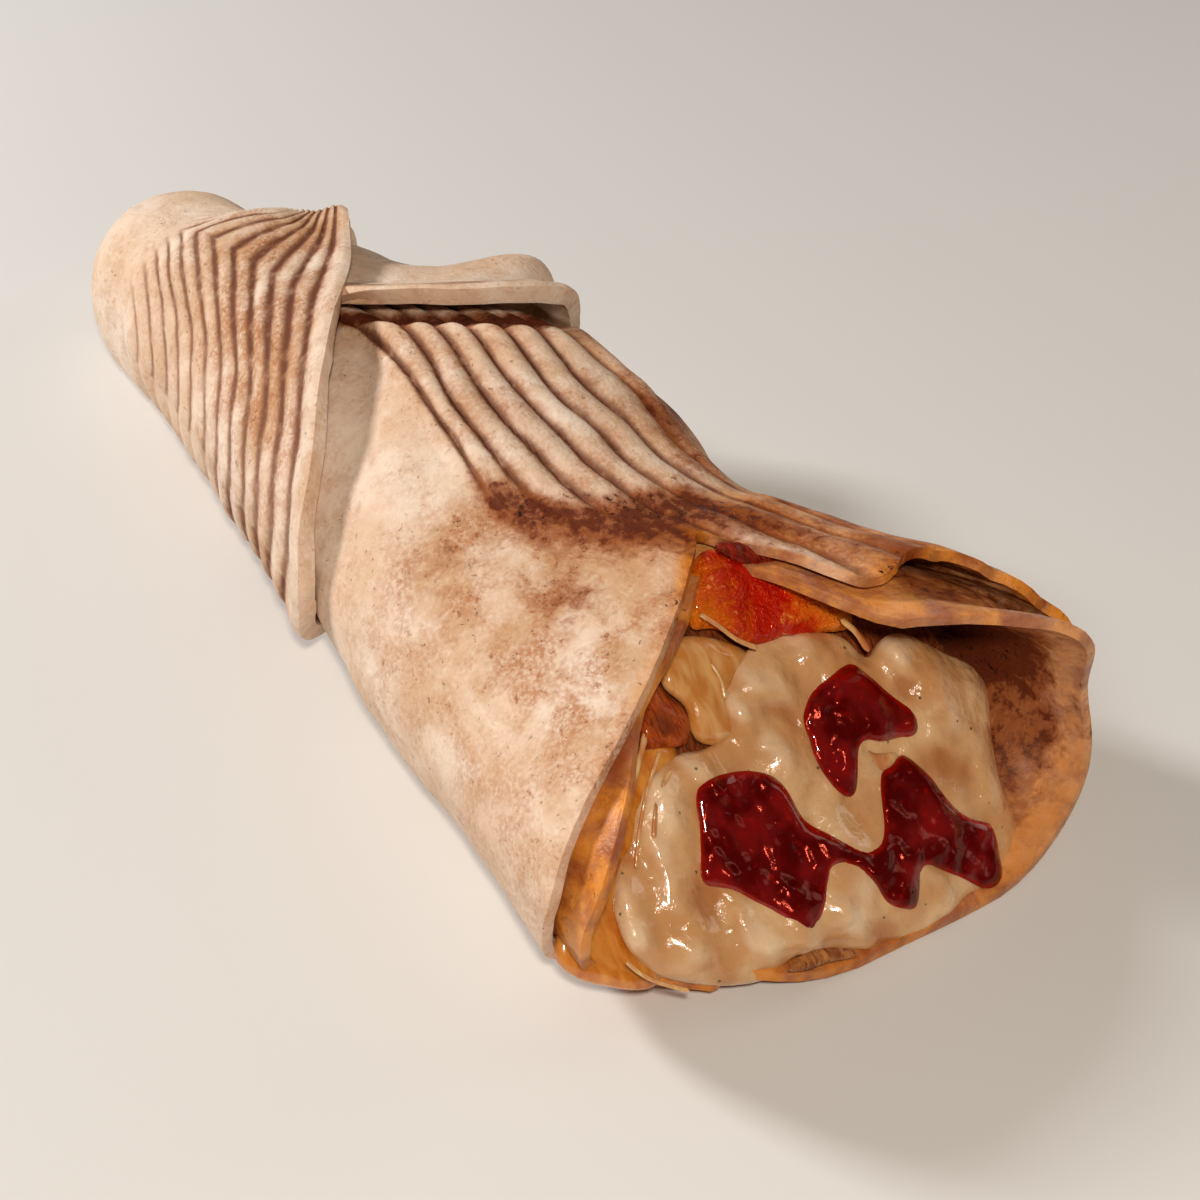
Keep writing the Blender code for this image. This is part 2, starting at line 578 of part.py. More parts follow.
def give_material(piece):
    """The piece's own material, in its colour, roughness and metallic value."""
    material = bpy.data.materials.new(piece.name)
    material.use_nodes = True
    shader = material.node_tree.nodes["Principled BSDF"]
    colour, roughness = FINISHES[piece.name]
    shader.inputs["Base Color"].default_value = (*colour, 1.0)
    shader.inputs["Roughness"].default_value = roughness
    shader.inputs["Metallic"].default_value = 0.0
    material.diffuse_color = (*colour, 1.0)
    piece.data.materials.clear()
    piece.data.materials.append(material)


def main():
    """Builds the wrap, and sets it with its origin in the middle of its footprint."""
    for old in list(bpy.data.objects):
        bpy.data.objects.remove(old)
    wrap = bpy.data.collections.new(WRAP)
    bpy.context.scene.collection.children.link(wrap)
    bread = flatbread()
    filling_core()
    face_pieces()
    corners = np.array([vert.co for vert in bread.data.vertices])
    middle = (corners.min(0) + corners.max(0)) / 2
    foot = Vector((middle[0], middle[1], corners[:, 2].min()))
    for piece in wrap.objects:
        piece.data.transform(Matrix.Translation(-foot))
        piece.data.shade_smooth()
        piece.data.set_sharp_from_angle(angle=math.radians(50))
        give_material(piece)


main()
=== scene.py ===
# The looks of a gyro wrap: grilled flatbread rolled round its filling, with salad and sauces at its mouth.

import math

import bpy
import numpy as np
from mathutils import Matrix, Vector, noise


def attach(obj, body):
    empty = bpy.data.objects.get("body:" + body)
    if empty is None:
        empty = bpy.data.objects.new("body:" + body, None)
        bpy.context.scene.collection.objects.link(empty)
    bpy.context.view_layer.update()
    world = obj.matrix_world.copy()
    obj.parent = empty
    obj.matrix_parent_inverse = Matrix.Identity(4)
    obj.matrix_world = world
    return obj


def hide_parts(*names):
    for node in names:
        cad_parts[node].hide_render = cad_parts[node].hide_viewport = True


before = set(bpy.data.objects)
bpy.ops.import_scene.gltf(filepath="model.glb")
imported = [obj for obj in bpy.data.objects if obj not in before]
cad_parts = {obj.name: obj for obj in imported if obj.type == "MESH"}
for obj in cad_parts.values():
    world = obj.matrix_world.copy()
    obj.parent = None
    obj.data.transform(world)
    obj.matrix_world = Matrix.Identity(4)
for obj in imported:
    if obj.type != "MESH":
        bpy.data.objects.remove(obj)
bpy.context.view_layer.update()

# The footprint's middle. Places here are in millimetres: from the tail, across to the right side, and up.
FOOTPRINT_MIDDLE = np.array((114.3455, 4.1844, 0.0))

# The rolled bread's sections: distance from the tail, left and right half widths, and top height.
SECTIONS = (
    (22, 18.5, 15.0, 34.0), (40, 20.5, 19.5, 39.0), (60, 23.5, 26.0, 42.8), (85, 28.5, 34.5, 48.0),
    (110, 33.5, 41.0, 53.0), (130, 37.5, 40.5, 52.5), (150, 41.0, 37.5, 49.5), (175, 43.0, 45.0, 50.5),
    (200, 47.5, 54.5, 53.0), (232, 51.0, 58.0, 55.0),
)
# The bread's edges round the wrap: angle from the right side over the top, then distance from the tail.
INNER_RIM = (
    (0, 222), (35, 222.5), (48, 218.5), (57, 213.5), (64, 209.5), (69, 206), (73, 196), (76, 185),
    (80, 177), (87, 180), (96, 186), (108, 192), (120, 197), (136, 208), (155, 215), (180, 215),
    (207, 212), (230, 216), (252, 225), (290, 232), (325, 228),
)
OUTER_EDGE = (
    (0, 217), (18, 214), (29, 207), (38, 200), (46, 196), (55, 196.5), (62, 199.5), (67, 199.5),
    (71, 194), (75, 182), (79, 174), (85, 177), (96, 185), (107, 191.5), (126, 200.5), (147, 206),
    (170, 209.5), (184, 208), (205, 205), (235, 205), (270, 207), (320, 210), (345, 214),
)
HOOD_LIP = (
    (0, 42), (35, 46), (50, 50), (63, 55), (74, 64), (91, 79), (106, 91), (130, 110),
    (152, 121), (170, 126), (190, 123), (220, 115), (270, 96), (310, 68), (335, 50),
)
FOLD_LIP = (
    (-50, 80), (-25, 86), (0, 92), (20, 99), (40, 105), (56, 108), (67, 107), (76, 104.5), (84, 100.5),
    (91, 94.5), (100, 84.5), (118, 76),
)

# Where the seven grooves between the grill's ridges run: distance from the tail, then each one's angle.
GROOVES = (
    (90, 100, 90.5, 84.5, 78.5, 71, 63, 57), (110, 104.5, 97, 90, 83, 74, 64.5, 57),
    (122, 106, 100.5, 92.5, 85.5, 76.5, 66.5, 54), (133, 106, 100, 92.5, 84.5, 76.5, 66.5, 49.5),
    (142, 106, 98.5, 90, 81.5, 71.5, 60.5, 48), (154, 105, 96, 88.5, 79.5, 70.5, 59.5, 47),
    (175, 104, 94, 86, 77, 67.5, 56, 44),
)
# Where the ridges end in a scorched band: angle, then distance from the tail.
SCORCH_LINE = (
    (40, 160), (71, 165), (81, 164), (90, 161), (93, 157), (97, 151), (102, 146), (107, 142), (125, 136),
)

# Where the mouth's face meets the table, and where each sheet starts, as distances from the tail.
MOUTH_AT = 232.0
ROLL_START, FOLD_START, SLEEVE_START = 24.0, 42.0, 22.0
# How far the tail's dome reaches out, and the share of the hood's rows that it takes.
DOME_REACH, DOME_SHARE = 25.4, 0.28
# The section: how high its widest part is, how square its halves are, and how its underside leaves the table.
WIDEST_SHARE, TOP_POWER, BOTTOM_POWER, BOTTOM_REACH = 0.46, 2.1, 2.6, 1.5
BELLY_RISE, BELLY_START, BELLY_LENGTH = 3.4, 105.0, 60.0
ARCH_HEIGHT, ARCH_MIDDLE, ARCH_HALF = 0.9, 101.0, 79.0
# The bread's thickness and hems, and the share of a sheet's rows that comes before its hem.
THICKEST, ROLL_HEM, LIP_HEM, BEFORE_HEM = 3.5, 0.9, 1.6, 0.99
# How far layers, lips, ridges and puffs stand out of the section.
LAYER, START_RISE, OUTER_GAPE, RIM_FLARE, RIM_DROOP, UNDER_RISE = 3.1, 2.1, 1.8, 4.2, 1.1, 2.9
RIDGE_HEIGHT, FURROW_HEIGHT, HOOD_DENT, TUCK = 2.1, 0.8, 2.0, 2.2
FOLD_OFFSET, FOLD_PUFF, FOLD_LIFT = 2.4, 10.0, 4.2
HOOD_OFFSET, HOOD_OVER_FOLD, HOOD_PEAK, HOOD_FLARE, HOOD_LINE_SPACING = 3.4, 2.6, 4.0, 1.2, 7.3


def smooth(t):
    """The smooth step from 0 to 1."""
    t = np.clip(t, 0.0, 1.0)
    return t * t * (3.0 - 2.0 * t)


def curve_through(rows, column, x):
    """A smooth curve through one column of a table, read at x."""
    keys = np.array([row[0] for row in rows], float)
    values = np.array([row[column] for row in rows], float)
    slopes = np.gradient(values, keys)
    x = np.clip(x, keys[0], keys[-1])
    i = np.clip(np.searchsorted(keys, x) - 1, 0, len(keys) - 2)
    width = keys[i + 1] - keys[i]
    t = (x - keys[i]) / width
    rise = (3 * t**2 - 2 * t**3) * values[i + 1] + (2 * t**3 - 3 * t**2 + 1) * values[i]
    return rise + width * ((t**3 - 2 * t**2 + t) * slopes[i] + (t**3 - t**2) * slopes[i + 1])


def ring_through(rows, angle):
    """The same round a full turn, for a table of (angle, value)."""
    wrapped = ((rows[-1][0] - 360, rows[-1][1]), *rows, (rows[0][0] + 360, rows[0][1]))
    return curve_through(wrapped, 1, (angle - rows[0][0]) % 360 + rows[0][0])


def bell(value, middle, width):
    """A bump of height 1 round the middle."""
    return np.exp(-(((value - middle) / width) ** 2))


def section_at(x):
    """The rolled bread's centre across, half width, top, widest height and underside."""
    left, right, top = (curve_through(SECTIONS, column, x) for column in (1, 2, 3))
    underside = BELLY_RISE * (1.0 - smooth((x - BELLY_START) / BELLY_LENGTH))
    underside = underside + ARCH_HEIGHT * np.maximum(0.0, 1.0 - ((x - ARCH_MIDDLE) / ARCH_HALF) ** 2)
    return (right - left) / 2, (right + left) / 2, top, WIDEST_SHARE * top, underside


def on_wrap(x, angle, offset):
    """Points at offset outside the rolled bread's outer face. The angle is 0 at the right and 90 on top."""
    centre, half, top, widest, underside = section_at(x)
    across = np.cos(np.radians(angle))
    up = np.sin(np.radians(angle))
    power = np.where(up >= 0, TOP_POWER, BOTTOM_POWER)
    height = np.where(up >= 0, top - widest, widest - underside + BOTTOM_REACH)
    y = centre + np.sign(across) * np.abs(across) ** (2 / power) * (half + offset)
    z = widest + np.sign(up) * np.abs(up) ** (2 / power) * (height + offset)
    z = np.maximum(z, np.maximum(underside - offset, 0.0))
    return np.stack(np.broadcast_arrays(x, y, z), axis=-1)


# How the photograph's line of sight runs on for each millimetre out of the mouth's face, and the lowest food.
SIGHT_ACROSS, SIGHT_UP = -0.354, 0.53
LOWEST = 0.4


def on_face(across, height, out):
    """Points that the photograph's view shows at this place on the mouth's slope, standing out of it."""
    across = across + SIGHT_ACROSS * out
    height = np.maximum(height + SIGHT_UP * out, LOWEST)
    return np.stack(np.broadcast_arrays(MOUTH_AT - height + out, across, height), axis=-1)


def unevenness(points, size, seed):
    """Smooth noise of about this size at each point, from -1 to 1."""
    start = Vector((seed * 17.3, seed * 5.1, seed * 9.7))
    return np.array([noise.noise(Vector(point) / size + start) for point in points])


def set_points(piece, points):
    """Moves a piece's vertices to points in millimetres."""
    metres = (np.asarray(points) - FOOTPRINT_MIDDLE) * 0.001
    piece.data.vertices.foreach_set("co", metres.astype(np.float32).ravel())
    piece.data.update()


def points_of(piece):
    """A piece's vertices in millimetres."""
    metres = np.empty(len(piece.data.vertices) * 3, np.float32)
    piece.data.vertices.foreach_get("co", metres)
    return metres.reshape(-1, 3).astype(float) * 1000.0 + FOOTPRINT_MIDDLE


def note(piece, name, values):
    """Keeps one number for each vertex, for the material to read."""
    kept = piece.data.attributes.new(name, "FLOAT", "POINT")
    kept.data.foreach_set("value", np.asarray(values, np.float32))


def take_up(piece):
    """Makes a piece the only one selected."""
    bpy.ops.object.select_all(action="DESELECT")
    piece.select_set(True)
    bpy.context.view_layer.objects.active = piece


def newest(name):
    """The piece that was just added, under its own name."""
    piece = bpy.context.object
    piece.name = name
    piece.data.name = name
    return piece


def edit(piece, *steps):
    """Runs edit-mode steps on the whole of a piece."""
    take_up(piece)
    bpy.ops.object.mode_set(mode="EDIT")
    bpy.ops.mesh.select_all(action="SELECT")
    for step in steps:
        step()
    bpy.ops.object.mode_set(mode="OBJECT")


def finish_with(piece, kind, **settings):
    """Adds one modifier and applies it."""
    take_up(piece)
    modifier = piece.modifiers.new(kind.lower(), kind)
    for name, value in settings.items():
        setattr(modifier, name, value)
    bpy.ops.object.modifier_apply(modifier=modifier.name)


def hand_over(piece, slot, finish, *nodes):
    """Smooths a finished piece, gives it its material and lets it ride on the wrap."""
    take_up(piece)
    bpy.ops.object.shade_smooth()
    piece.data.materials.clear()
    piece.data.materials.append(finish)
    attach(piece, "root")
    if nodes:
        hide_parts(*nodes)


class Wire:
    """One output of a shader node. Arithmetic on it adds Math nodes."""

    def __init__(self, finish, socket):
        self.finish = finish
        self.socket = socket

    def maths(self, operation, *values):
        return self.finish.node("ShaderNodeMath", {"operation": operation}, dict(enumerate(values)))

    def __add__(self, other):
        return self.maths("ADD", self, other)

    def __sub__(self, other):
        return self.maths("SUBTRACT", self, other)

    def __rsub__(self, other):
        return self.maths("SUBTRACT", other, self)

    def __mul__(self, other):
        return self.maths("MULTIPLY", self, other)

    def __truediv__(self, other):
        return self.maths("DIVIDE", self, other)

    __radd__ = __add__
    __rmul__ = __mul__


class Finish:
    """A material and the nodes that make it."""

    def __init__(self, name):
        self.material = bpy.data.materials.new(name)
        self.material.use_nodes = True
        self.tree = self.material.node_tree
        self.shader = self.tree.nodes["Principled BSDF"]
        self.place = self.node("ShaderNodeTexCoord", {}, {}, "Object")

    def node(self, kind, settings, sockets, output=0):
        """Any node: its settings first, then its sockets' values or links."""
        made = self.tree.nodes.new(kind)
        for name, value in settings.items():
            if name == "stops":
                while len(made.color_ramp.elements) < len(value):
                    made.color_ramp.elements.new(1.0)
                for element, (position, colour) in zip(made.color_ramp.elements, value):
                    element.position = position
                    element.color = (*colour, 1.0)
            else:
                setattr(made, name, value)
        for name, value in sockets.items():
            self.feed(made.inputs[name], value)
        return Wire(self, made.outputs[output])

    def feed(self, socket, value):
        """Links a socket or sets its value."""
        if isinstance(value, Wire):
            self.tree.links.new(value.socket, socket)
        elif isinstance(value, tuple) and socket.type == "RGBA":
            socket.default_value = (*value, 1.0)
        else:
            socket.default_value = value

    def noise(self, size, detail, roughness, distortion=0.0, where=None):
        """Noise with features of about this size in millimetres, mostly from 0.3 to 0.7."""
        sockets = {"Vector": where or self.place, "Scale": 1000.0 / size, "Detail": detail}
        sockets.update({"Roughness": roughness, "Distortion": distortion})
        return self.node("ShaderNodeTexNoise", {}, sockets)

    def cells(self, size):
        """Distance from the nearest of scattered points that lie about this many millimetres apart."""
        sockets = {"Vector": self.place, "Scale": 1000.0 / size}
        return self.node("ShaderNodeTexVoronoi", {}, sockets, "Distance")

    def between(self, value, low, high, start=0.0, end=1.0):
        """A smooth step from start to end as the value goes from low to high."""
        sockets = {0: value, 1: low, 2: high, 3: start, 4: end}
        return self.node("ShaderNodeMapRange", {"interpolation_type": "SMOOTHSTEP"}, sockets)

    def kept(self, name):
        """A number that the piece keeps for each vertex."""
        return self.node("ShaderNodeAttribute", {"attribute_name": name}, {}, "Fac")

    def mix(self, share, first, second):
        """Two colours mixed."""
        settings = {"data_type": "RGBA", "clamp_result": True}
        return self.node("ShaderNodeMix", settings, {0: share, 6: first, 7: second}, 2)

    def ramp(self, value, *stops):
        """A colour ramp."""
        return self.node("ShaderNodeValToRGB", {"stops": stops}, {0: value})

    def bump(self, height, depth, strength):
        """A normal from heights of 0 to 1 that stand for this many millimetres."""
        sockets = {"Height": height, "Distance": depth * 0.001, "Strength": strength}
        return self.node("ShaderNodeBump", {}, sockets)

    def shade(self, **sockets):
        """Sets the shader's own sockets and returns the material."""
        for name, value in sockets.items():
            self.feed(self.shader.inputs[name.replace("_", " ")], value)
        return self.material


def tint(red, green, blue):
    """A colour as read off a screen, turned to the shader's own scale."""
    return tuple(((c / 255.0 + 0.055) / 1.055) ** 2.4 if c > 10 else c / 3295.0 for c in (red, green, blue))


FLOUR = tint(249, 238, 222)
CREAM, PALE_CREAM, BEIGE = tint(227, 198, 171), tint(240, 222, 204), tint(202, 162, 122)
TOAST, GRILL_LINE, BROWNED = tint(180, 124, 84), tint(106, 58, 40), tint(148, 80, 40)
SCORCHED, CHARRED = tint(92, 34, 16), tint(30, 12, 8)
OILED, OILED_DEEP = tint(224, 138, 30), tint(152, 68, 8)


def bread_finish():
    """Soft flatbread: floury cream, toasted blotches, grill lines, scorched patches and soaked-in oil, with
    painted shade beside the grill lines, under the fold's lip and deep in the mouth.
    """
    bread = Finish("grilled_flatbread")
    wander = bread.noise(4.0, 4.0, 0.6)
    fine = bread.noise(0.8, 3.0, 0.6)
    broad = bread.noise(22.0, 3.0, 0.5)
    patches = bread.noise(9.0, 5.0, 0.62, 0.4)
    colour = bread.mix(bread.between(broad, 0.35, 0.68), CREAM, PALE_CREAM)
    colour = bread.mix(bread.between(wander, 0.48, 0.72) * 0.25, colour, TOAST)
    clouds = bread.noise(15.0, 5.0, 0.62, 0.6)
    clouded = bread.between(clouds, 0.42, 0.64) * (bread.kept("toast") * 0.7 + 0.15)
    colour = bread.mix(clouded, colour, BEIGE)
    mottle = bread.noise(1.7, 4.0, 0.7, 0.4)
    mottled = bread.between(mottle, 0.5, 0.7) * bread.between(patches, 0.35, 0.6, 0.06, 0.3)
    colour = bread.mix(mottled, colour, TOAST)
    colour = bread.mix((1.0 - bread.between(mottle, 0.34, 0.46)) * 0.22, colour, FLOUR)

    toast = bread.kept("toast") * bread.between(patches, 0.34, 0.66, 0.12, 1.0)
    toast = toast * bread.between(fine, 0.3, 0.62, 0.25, 1.0)
    colour = bread.mix(toast, colour, TOAST)
    specks = bread.between(bread.noise(1.5, 2.0, 0.7), 0.6, 0.7)
    specks = specks * bread.between(patches, 0.4, 0.6, 0.15, 1.0)
    colour = bread.mix(specks * (bread.kept("toast") * 0.7 + 0.12), colour, BROWNED)

    line = bread.kept("line") + (wander - 0.5) * 0.14 + (fine - 0.5) * 0.08
    off_line = (line - line.maths("ROUND", line)).maths("ABSOLUTE", line - line.maths("ROUND", line))
    width = bread.kept("line_width") * bread.between(patches, 0.3, 0.7, 0.7, 1.3)
    # Soft brown beside each grill line: partly toasting, partly painted shade in the grooves.
    groove_toast_and_shade = (1.0 - bread.between(off_line / width, 0.5, 2.3)) * bread.kept("line_dark")
    colour = bread.mix(groove_toast_and_shade * bread.between(fine, 0.3, 0.6, 0.25, 0.65), colour, TOAST)
    grill = (1.0 - bread.between(off_line / width, 0.15, 1.15)) * bread.kept("line_dark")
    grill = grill * bread.between(wander, 0.28, 0.52, 0.55, 1.0)
    colour = bread.mix(grill, colour, bread.mix(bread.kept("oil"), GRILL_LINE, SCORCHED))

    crackle = bread.noise(2.6, 5.0, 0.7, 0.3)
    oil = bread.kept("oil")
    oil_colour = bread.mix(bread.between(patches, 0.36, 0.66), OILED, OILED_DEEP)
    soaked = oil * bread.between(wander, 0.2, 0.6, 0.86, 1.0) * (1.0 - grill * 0.6)
    colour = bread.mix(soaked * 0.96, colour, oil_colour)

    # Scorched bread, together with painted shade under the fold's lip and deep in the mouth, read from the
    # same mark.
    scorch = bread.kept("scorch")
    speckle = (crackle - 0.5) * 2.6 + (patches - 0.5) * 1.0
    browned = bread.mix(oil, BROWNED, tint(136, 60, 12))
    colour = bread.mix(bread.between(scorch + speckle * 0.45, 0.1, 0.66) * 0.85, colour, browned)
    colour = bread.mix(bread.between(scorch + speckle, 0.55, 1.0) * 0.9, colour, SCORCHED)

    grit = bread.noise(1.3, 3.0, 0.65, 0.6)
    charred_at = bread.kept("char") + scorch * 0.35 + speckle * 0.3
    char = bread.between(grit, 0.58, 0.66) * bread.between(charred_at, 0.35, 0.6)
    pits = bread.between(grit, 0.665, 0.71) * bread.between(clouds, 0.4, 0.56)
    pits = pits * (1.0 - bread.kept("inside"))
    colour = bread.mix(pits * 0.55, colour, GRILL_LINE)
    colour = bread.mix(char, colour, CHARRED)

    relief = fine * 0.25 + wander * 0.6 + patches * 0.8 - pits * 0.5 - grill * 0.5 - char * 0.5
    normal = bread.bump(relief, 0.6, 0.9)
    roughness = 0.78 - oil * 0.4 - char * 0.15
    return bread.shade(
        Base_Color=colour, Roughness=roughness, Normal=normal, Subsurface_Weight=0.12,
        Subsurface_Radius=(0.6, 0.35, 0.2), Subsurface_Scale=0.002, Specular_IOR_Level=0.3,
        Specular_Tint=(1.0, 0.72, 0.45), Coat_Weight=oil * 0.16, Coat_Roughness=0.2,
    )


def garlic_sauce_finish():
    """Thick garlic sauce: creamy, wet and flecked with herbs, with painted shade in its hollows and painted
    light on its lumps.
    """
    sauce = Finish("garlic_sauce")
    cloud = sauce.noise(11.0, 3.0, 0.5, 0.3)
    curd = sauce.noise(2.4, 4.0, 0.6)
    thin = sauce.noise(6.0, 2.0, 0.5)
    colour = sauce.mix(sauce.between(cloud, 0.35, 0.68), tint(206, 152, 98), tint(225, 184, 134))
    colour = sauce.mix(sauce.between(curd, 0.55, 0.75) * 0.3, colour, tint(196, 146, 88))
    # Painted shade in the sauce's hollows, then a painted highlight on its lumps.
    colour = sauce.mix(sauce.kept("sunk") * 0.75, colour, tint(176, 108, 52))
    colour = sauce.mix(sauce.kept("proud") * 0.55, colour, tint(244, 218, 184))
    flecks = 1.0 - sauce.between(sauce.cells(3.0) + (curd - 0.5) * 0.25, 0.05, 0.12)
    flecks = flecks * sauce.between(thin, 0.5, 0.56)
    colour = sauce.mix(flecks * 0.85, colour, tint(62, 66, 24))
    droplets = 1.0 - sauce.between(sauce.cells(2.6), 0.0, 0.5)
    swell = sauce.noise(3.8, 1.0, 0.4)
    relief = sauce.between(curd, 0.3, 0.7) * 0.3 + cloud + flecks * 0.3 + droplets * 0.3 + swell * 2.2
    return sauce.shade(
        Base_Color=colour, Roughness=sauce.between(cloud, 0.3, 0.7, 0.14, 0.3),
        Normal=sauce.bump(relief, 0.5, 0.7), Subsurface_Weight=0.2, Subsurface_Radius=(1.0, 0.6, 0.35),
        Subsurface_Scale=0.0015, Coat_Weight=0.8, Coat_Roughness=0.06,
    )


def chilli_sauce_finish():
    """Dark red chilli sauce: wet, grainy, with crushed flesh and seeds in it."""
    sauce = Finish("chilli_sauce")
    pulp = sauce.noise(2.2, 4.0, 0.65)
    cloud = sauce.noise(7.0, 2.0, 0.5)
    swell = sauce.noise(4.6, 1.0, 0.4)
    colour = sauce.mix(sauce.between(cloud, 0.38, 0.66), tint(76, 1, 1), tint(126, 3, 1))
    colour = sauce.mix(sauce.between(pulp, 0.56, 0.74) * 0.4, colour, tint(184, 12, 2))
    thin_edge = 1.0 - sauce.between(sauce.kept("edge") + (pulp - 0.5) * 0.8, 0.0, 0.45)
    colour = sauce.mix(thin_edge * 0.6, colour, tint(170, 18, 4))
    relief = swell + sauce.noise(2.4, 0.0, 0.4) * 0.3 + pulp * 0.06
    wet = sauce.between(sauce.noise(7.0, 2.0, 0.5), 0.42, 0.54, 0.1, 0.8)
    return sauce.shade(
        Base_Color=colour, Roughness=0.16, Normal=sauce.bump(relief, 2.6, 1.0), Subsurface_Weight=0.1,
        Subsurface_Radius=(1.0, 0.1, 0.05), Subsurface_Scale=0.0015, Coat_Weight=wet, Coat_Roughness=0.04,
        Specular_IOR_Level=0.5, Specular_Tint=(1.0, 0.16, 0.1),
    )


def meat_finish(name, light, deep, wet):
    """Roasted meat with its grain, browned edges and oil."""
    meat = Finish(name)
    stretched = meat.node("ShaderNodeMapping", {}, {"Vector": meat.place, "Scale": (1.0, 3.0, 1.4)})
    fibres = meat.noise(2.6, 5.0, 0.65, 0.5, stretched)
    cloud = meat.noise(8.0, 3.0, 0.5)
    colour = meat.mix(meat.between(fibres, 0.35, 0.68), deep, light)
    colour = meat.mix(meat.between(cloud, 0.56, 0.74) * 0.7, colour, tint(70, 20, 8))
    return meat.shade(
        Base_Color=colour, Roughness=meat.between(fibres, 0.3, 0.7, 0.2, 0.5), Coat_Weight=wet,
        Coat_Roughness=0.1, Normal=meat.bump(fibres + cloud * 0.5, 0.7, 0.9), Subsurface_Weight=0.1,
        Subsurface_Radius=(1.0, 0.3, 0.15), Subsurface_Scale=0.002, Specular_Tint=(1.0, 0.45, 0.2),
    )


def tomato_finish():
    """Soft oily tomato and pepper: amber at the left, red in the middle, orange at the right."""
    tomato = Finish("oily_tomato")
    ripe = tomato.kept("across")
    cloud = tomato.noise(3.2, 4.0, 0.62, 0.3)
    colour = tomato.ramp(
        ripe + (cloud - 0.5) * 0.7,
        (0.0, tint(210, 112, 16)), (0.26, tint(198, 72, 8)), (0.4, tint(186, 20, 3)),
        (0.62, tint(190, 22, 3)), (0.74, tint(220, 92, 10)), (1.0, tint(220, 130, 30)),
    )
    colour = tomato.mix(tomato.between(cloud, 0.6, 0.75), colour, tint(236, 170, 74))
    return tomato.shade(
        Base_Color=colour, Roughness=0.2, Normal=tomato.bump(tomato.between(cloud, 0.3, 0.7), 0.8, 0.9),
        Subsurface_Weight=0.2, Subsurface_Radius=(1.0, 0.35, 0.1), Subsurface_Scale=0.003,
        Specular_Tint=(1.0, 0.4, 0.15), Coat_Roughness=0.06,
        Coat_Weight=tomato.between(cloud, 0.5, 0.6, 0.0, 0.8),
    )


def salad_finish(name, light, deep):
    """Wet, half translucent cabbage or onion with fine veins."""
    salad = Finish(name)
    stretched = salad.node("ShaderNodeMapping", {}, {"Vector": salad.place, "Scale": (1.0, 2.2, 0.7)})
    veins = salad.noise(5.0, 3.0, 0.5, 0.4, stretched)
    colour = salad.mix(salad.between(veins, 0.3, 0.72), deep, light)
    return salad.shade(
        Base_Color=colour, Roughness=0.2, Normal=salad.bump(veins, 0.5, 0.7), Subsurface_Weight=0.5,
        Subsurface_Radius=(1.0, 0.7, 0.3), Subsurface_Scale=0.003, Coat_Weight=0.7, Coat_Roughness=0.08,
    )


# The flatbread


def graded(*spans):
    """Values that run through spans of (start, steps) up to the last start."""
    runs = [np.linspace(a, b, steps, endpoint=False) for (a, steps), (b, _) in zip(spans, spans[1:])]
    return np.concatenate((*runs, [spans[-1][0]]))


def run_to(lip, start, share, hem):
    """Distances from the start to the lip, with nothing between the lip and the hem's inner edge."""
    at_lip = share > (BEFORE_HEM + 1.0) / 2
    return start + (lip - hem - start) * np.clip(share / BEFORE_HEM, 0.0, 1.0) + hem * at_lip


def bread_sheet(name, lengthways, crossways, hem, place):
    """A sheet of flatbread: a grid laid where place() says, with its thickness and a rounded hem."""
    bpy.ops.object.select_all(action="DESELECT")
    rows, columns = len(lengthways) - 1, len(crossways) - 1
    bpy.ops.mesh.primitive_grid_add(x_subdivisions=rows, y_subdivisions=columns, size=1.0)
    sheet = newest(name)
    flat = np.empty(len(sheet.data.vertices) * 3, np.float32)
    sheet.data.vertices.foreach_get("co", flat)
    flat = flat.reshape(-1, 3)
    share = lengthways[np.round((flat[:, 0] + 0.5) * rows).astype(int)]
    angle = crossways[np.round((flat[:, 1] + 0.5) * columns).astype(int)]
    points, marks = place(share, angle)
    set_points(sheet, points)
    for mark in ("line", "line_dark", "line_width", "toast", "scorch", "oil", "char"):
        note(sheet, mark, np.broadcast_to(marks.get(mark, 0.0), share.shape))
    note(sheet, "thickness", np.broadcast_to(marks["thickness"] / THICKEST, share.shape))
    edit(sheet, bpy.ops.mesh.flip_normals, lambda: bpy.ops.mesh.remove_doubles(threshold=0.00002))
    outer = len(sheet.data.vertices)
    thickness = sheet.vertex_groups.new(name="thickness")
    for number, held in enumerate(sheet.data.attributes["thickness"].data):
        thickness.add([number], held.value, "REPLACE")
    finish_with(sheet, "SOLIDIFY", thickness=THICKEST * 0.001, offset=-1.0, vertex_group="thickness")
    note(sheet, "inside", np.arange(len(sheet.data.vertices)) >= outer)
    finish_with(
        sheet, "BEVEL", width=hem * 0.00092, segments=4, limit_method="ANGLE", angle_limit=math.radians(50),
        use_clamp_overlap=True,
    )
    points = points_of(sheet)
    points[:, 2] = np.maximum(points[:, 2], 0.0)
    set_points(sheet, points)
    return sheet


def groove_number(x, angle):
    """Which of the grill's grooves a place is in: 1 to 7 in the grooves, halves on the ridges between."""
    grooves = np.array([curve_through(GROOVES, k, x) for k in range(1, 8)])
    number = 1.0 - (angle - grooves[0]) / 8.0
    for k in range(6):
        step = (grooves[k] - angle) / (grooves[k] - grooves[k + 1])
        number = np.where(angle <= grooves[k], k + 1 + step, number)
    return np.where(angle <= grooves[6], 7 + (grooves[6] - angle) / 10.0, number)


# Small black spots on the front layer: distance from the tail, then angle.
CHARRED_SPOTS = (
    (160, 84), (163, 80), (167, 66), (171, 68), (185, 96), (187, 99), (200, 63), (164, 77), (152, 99),
)


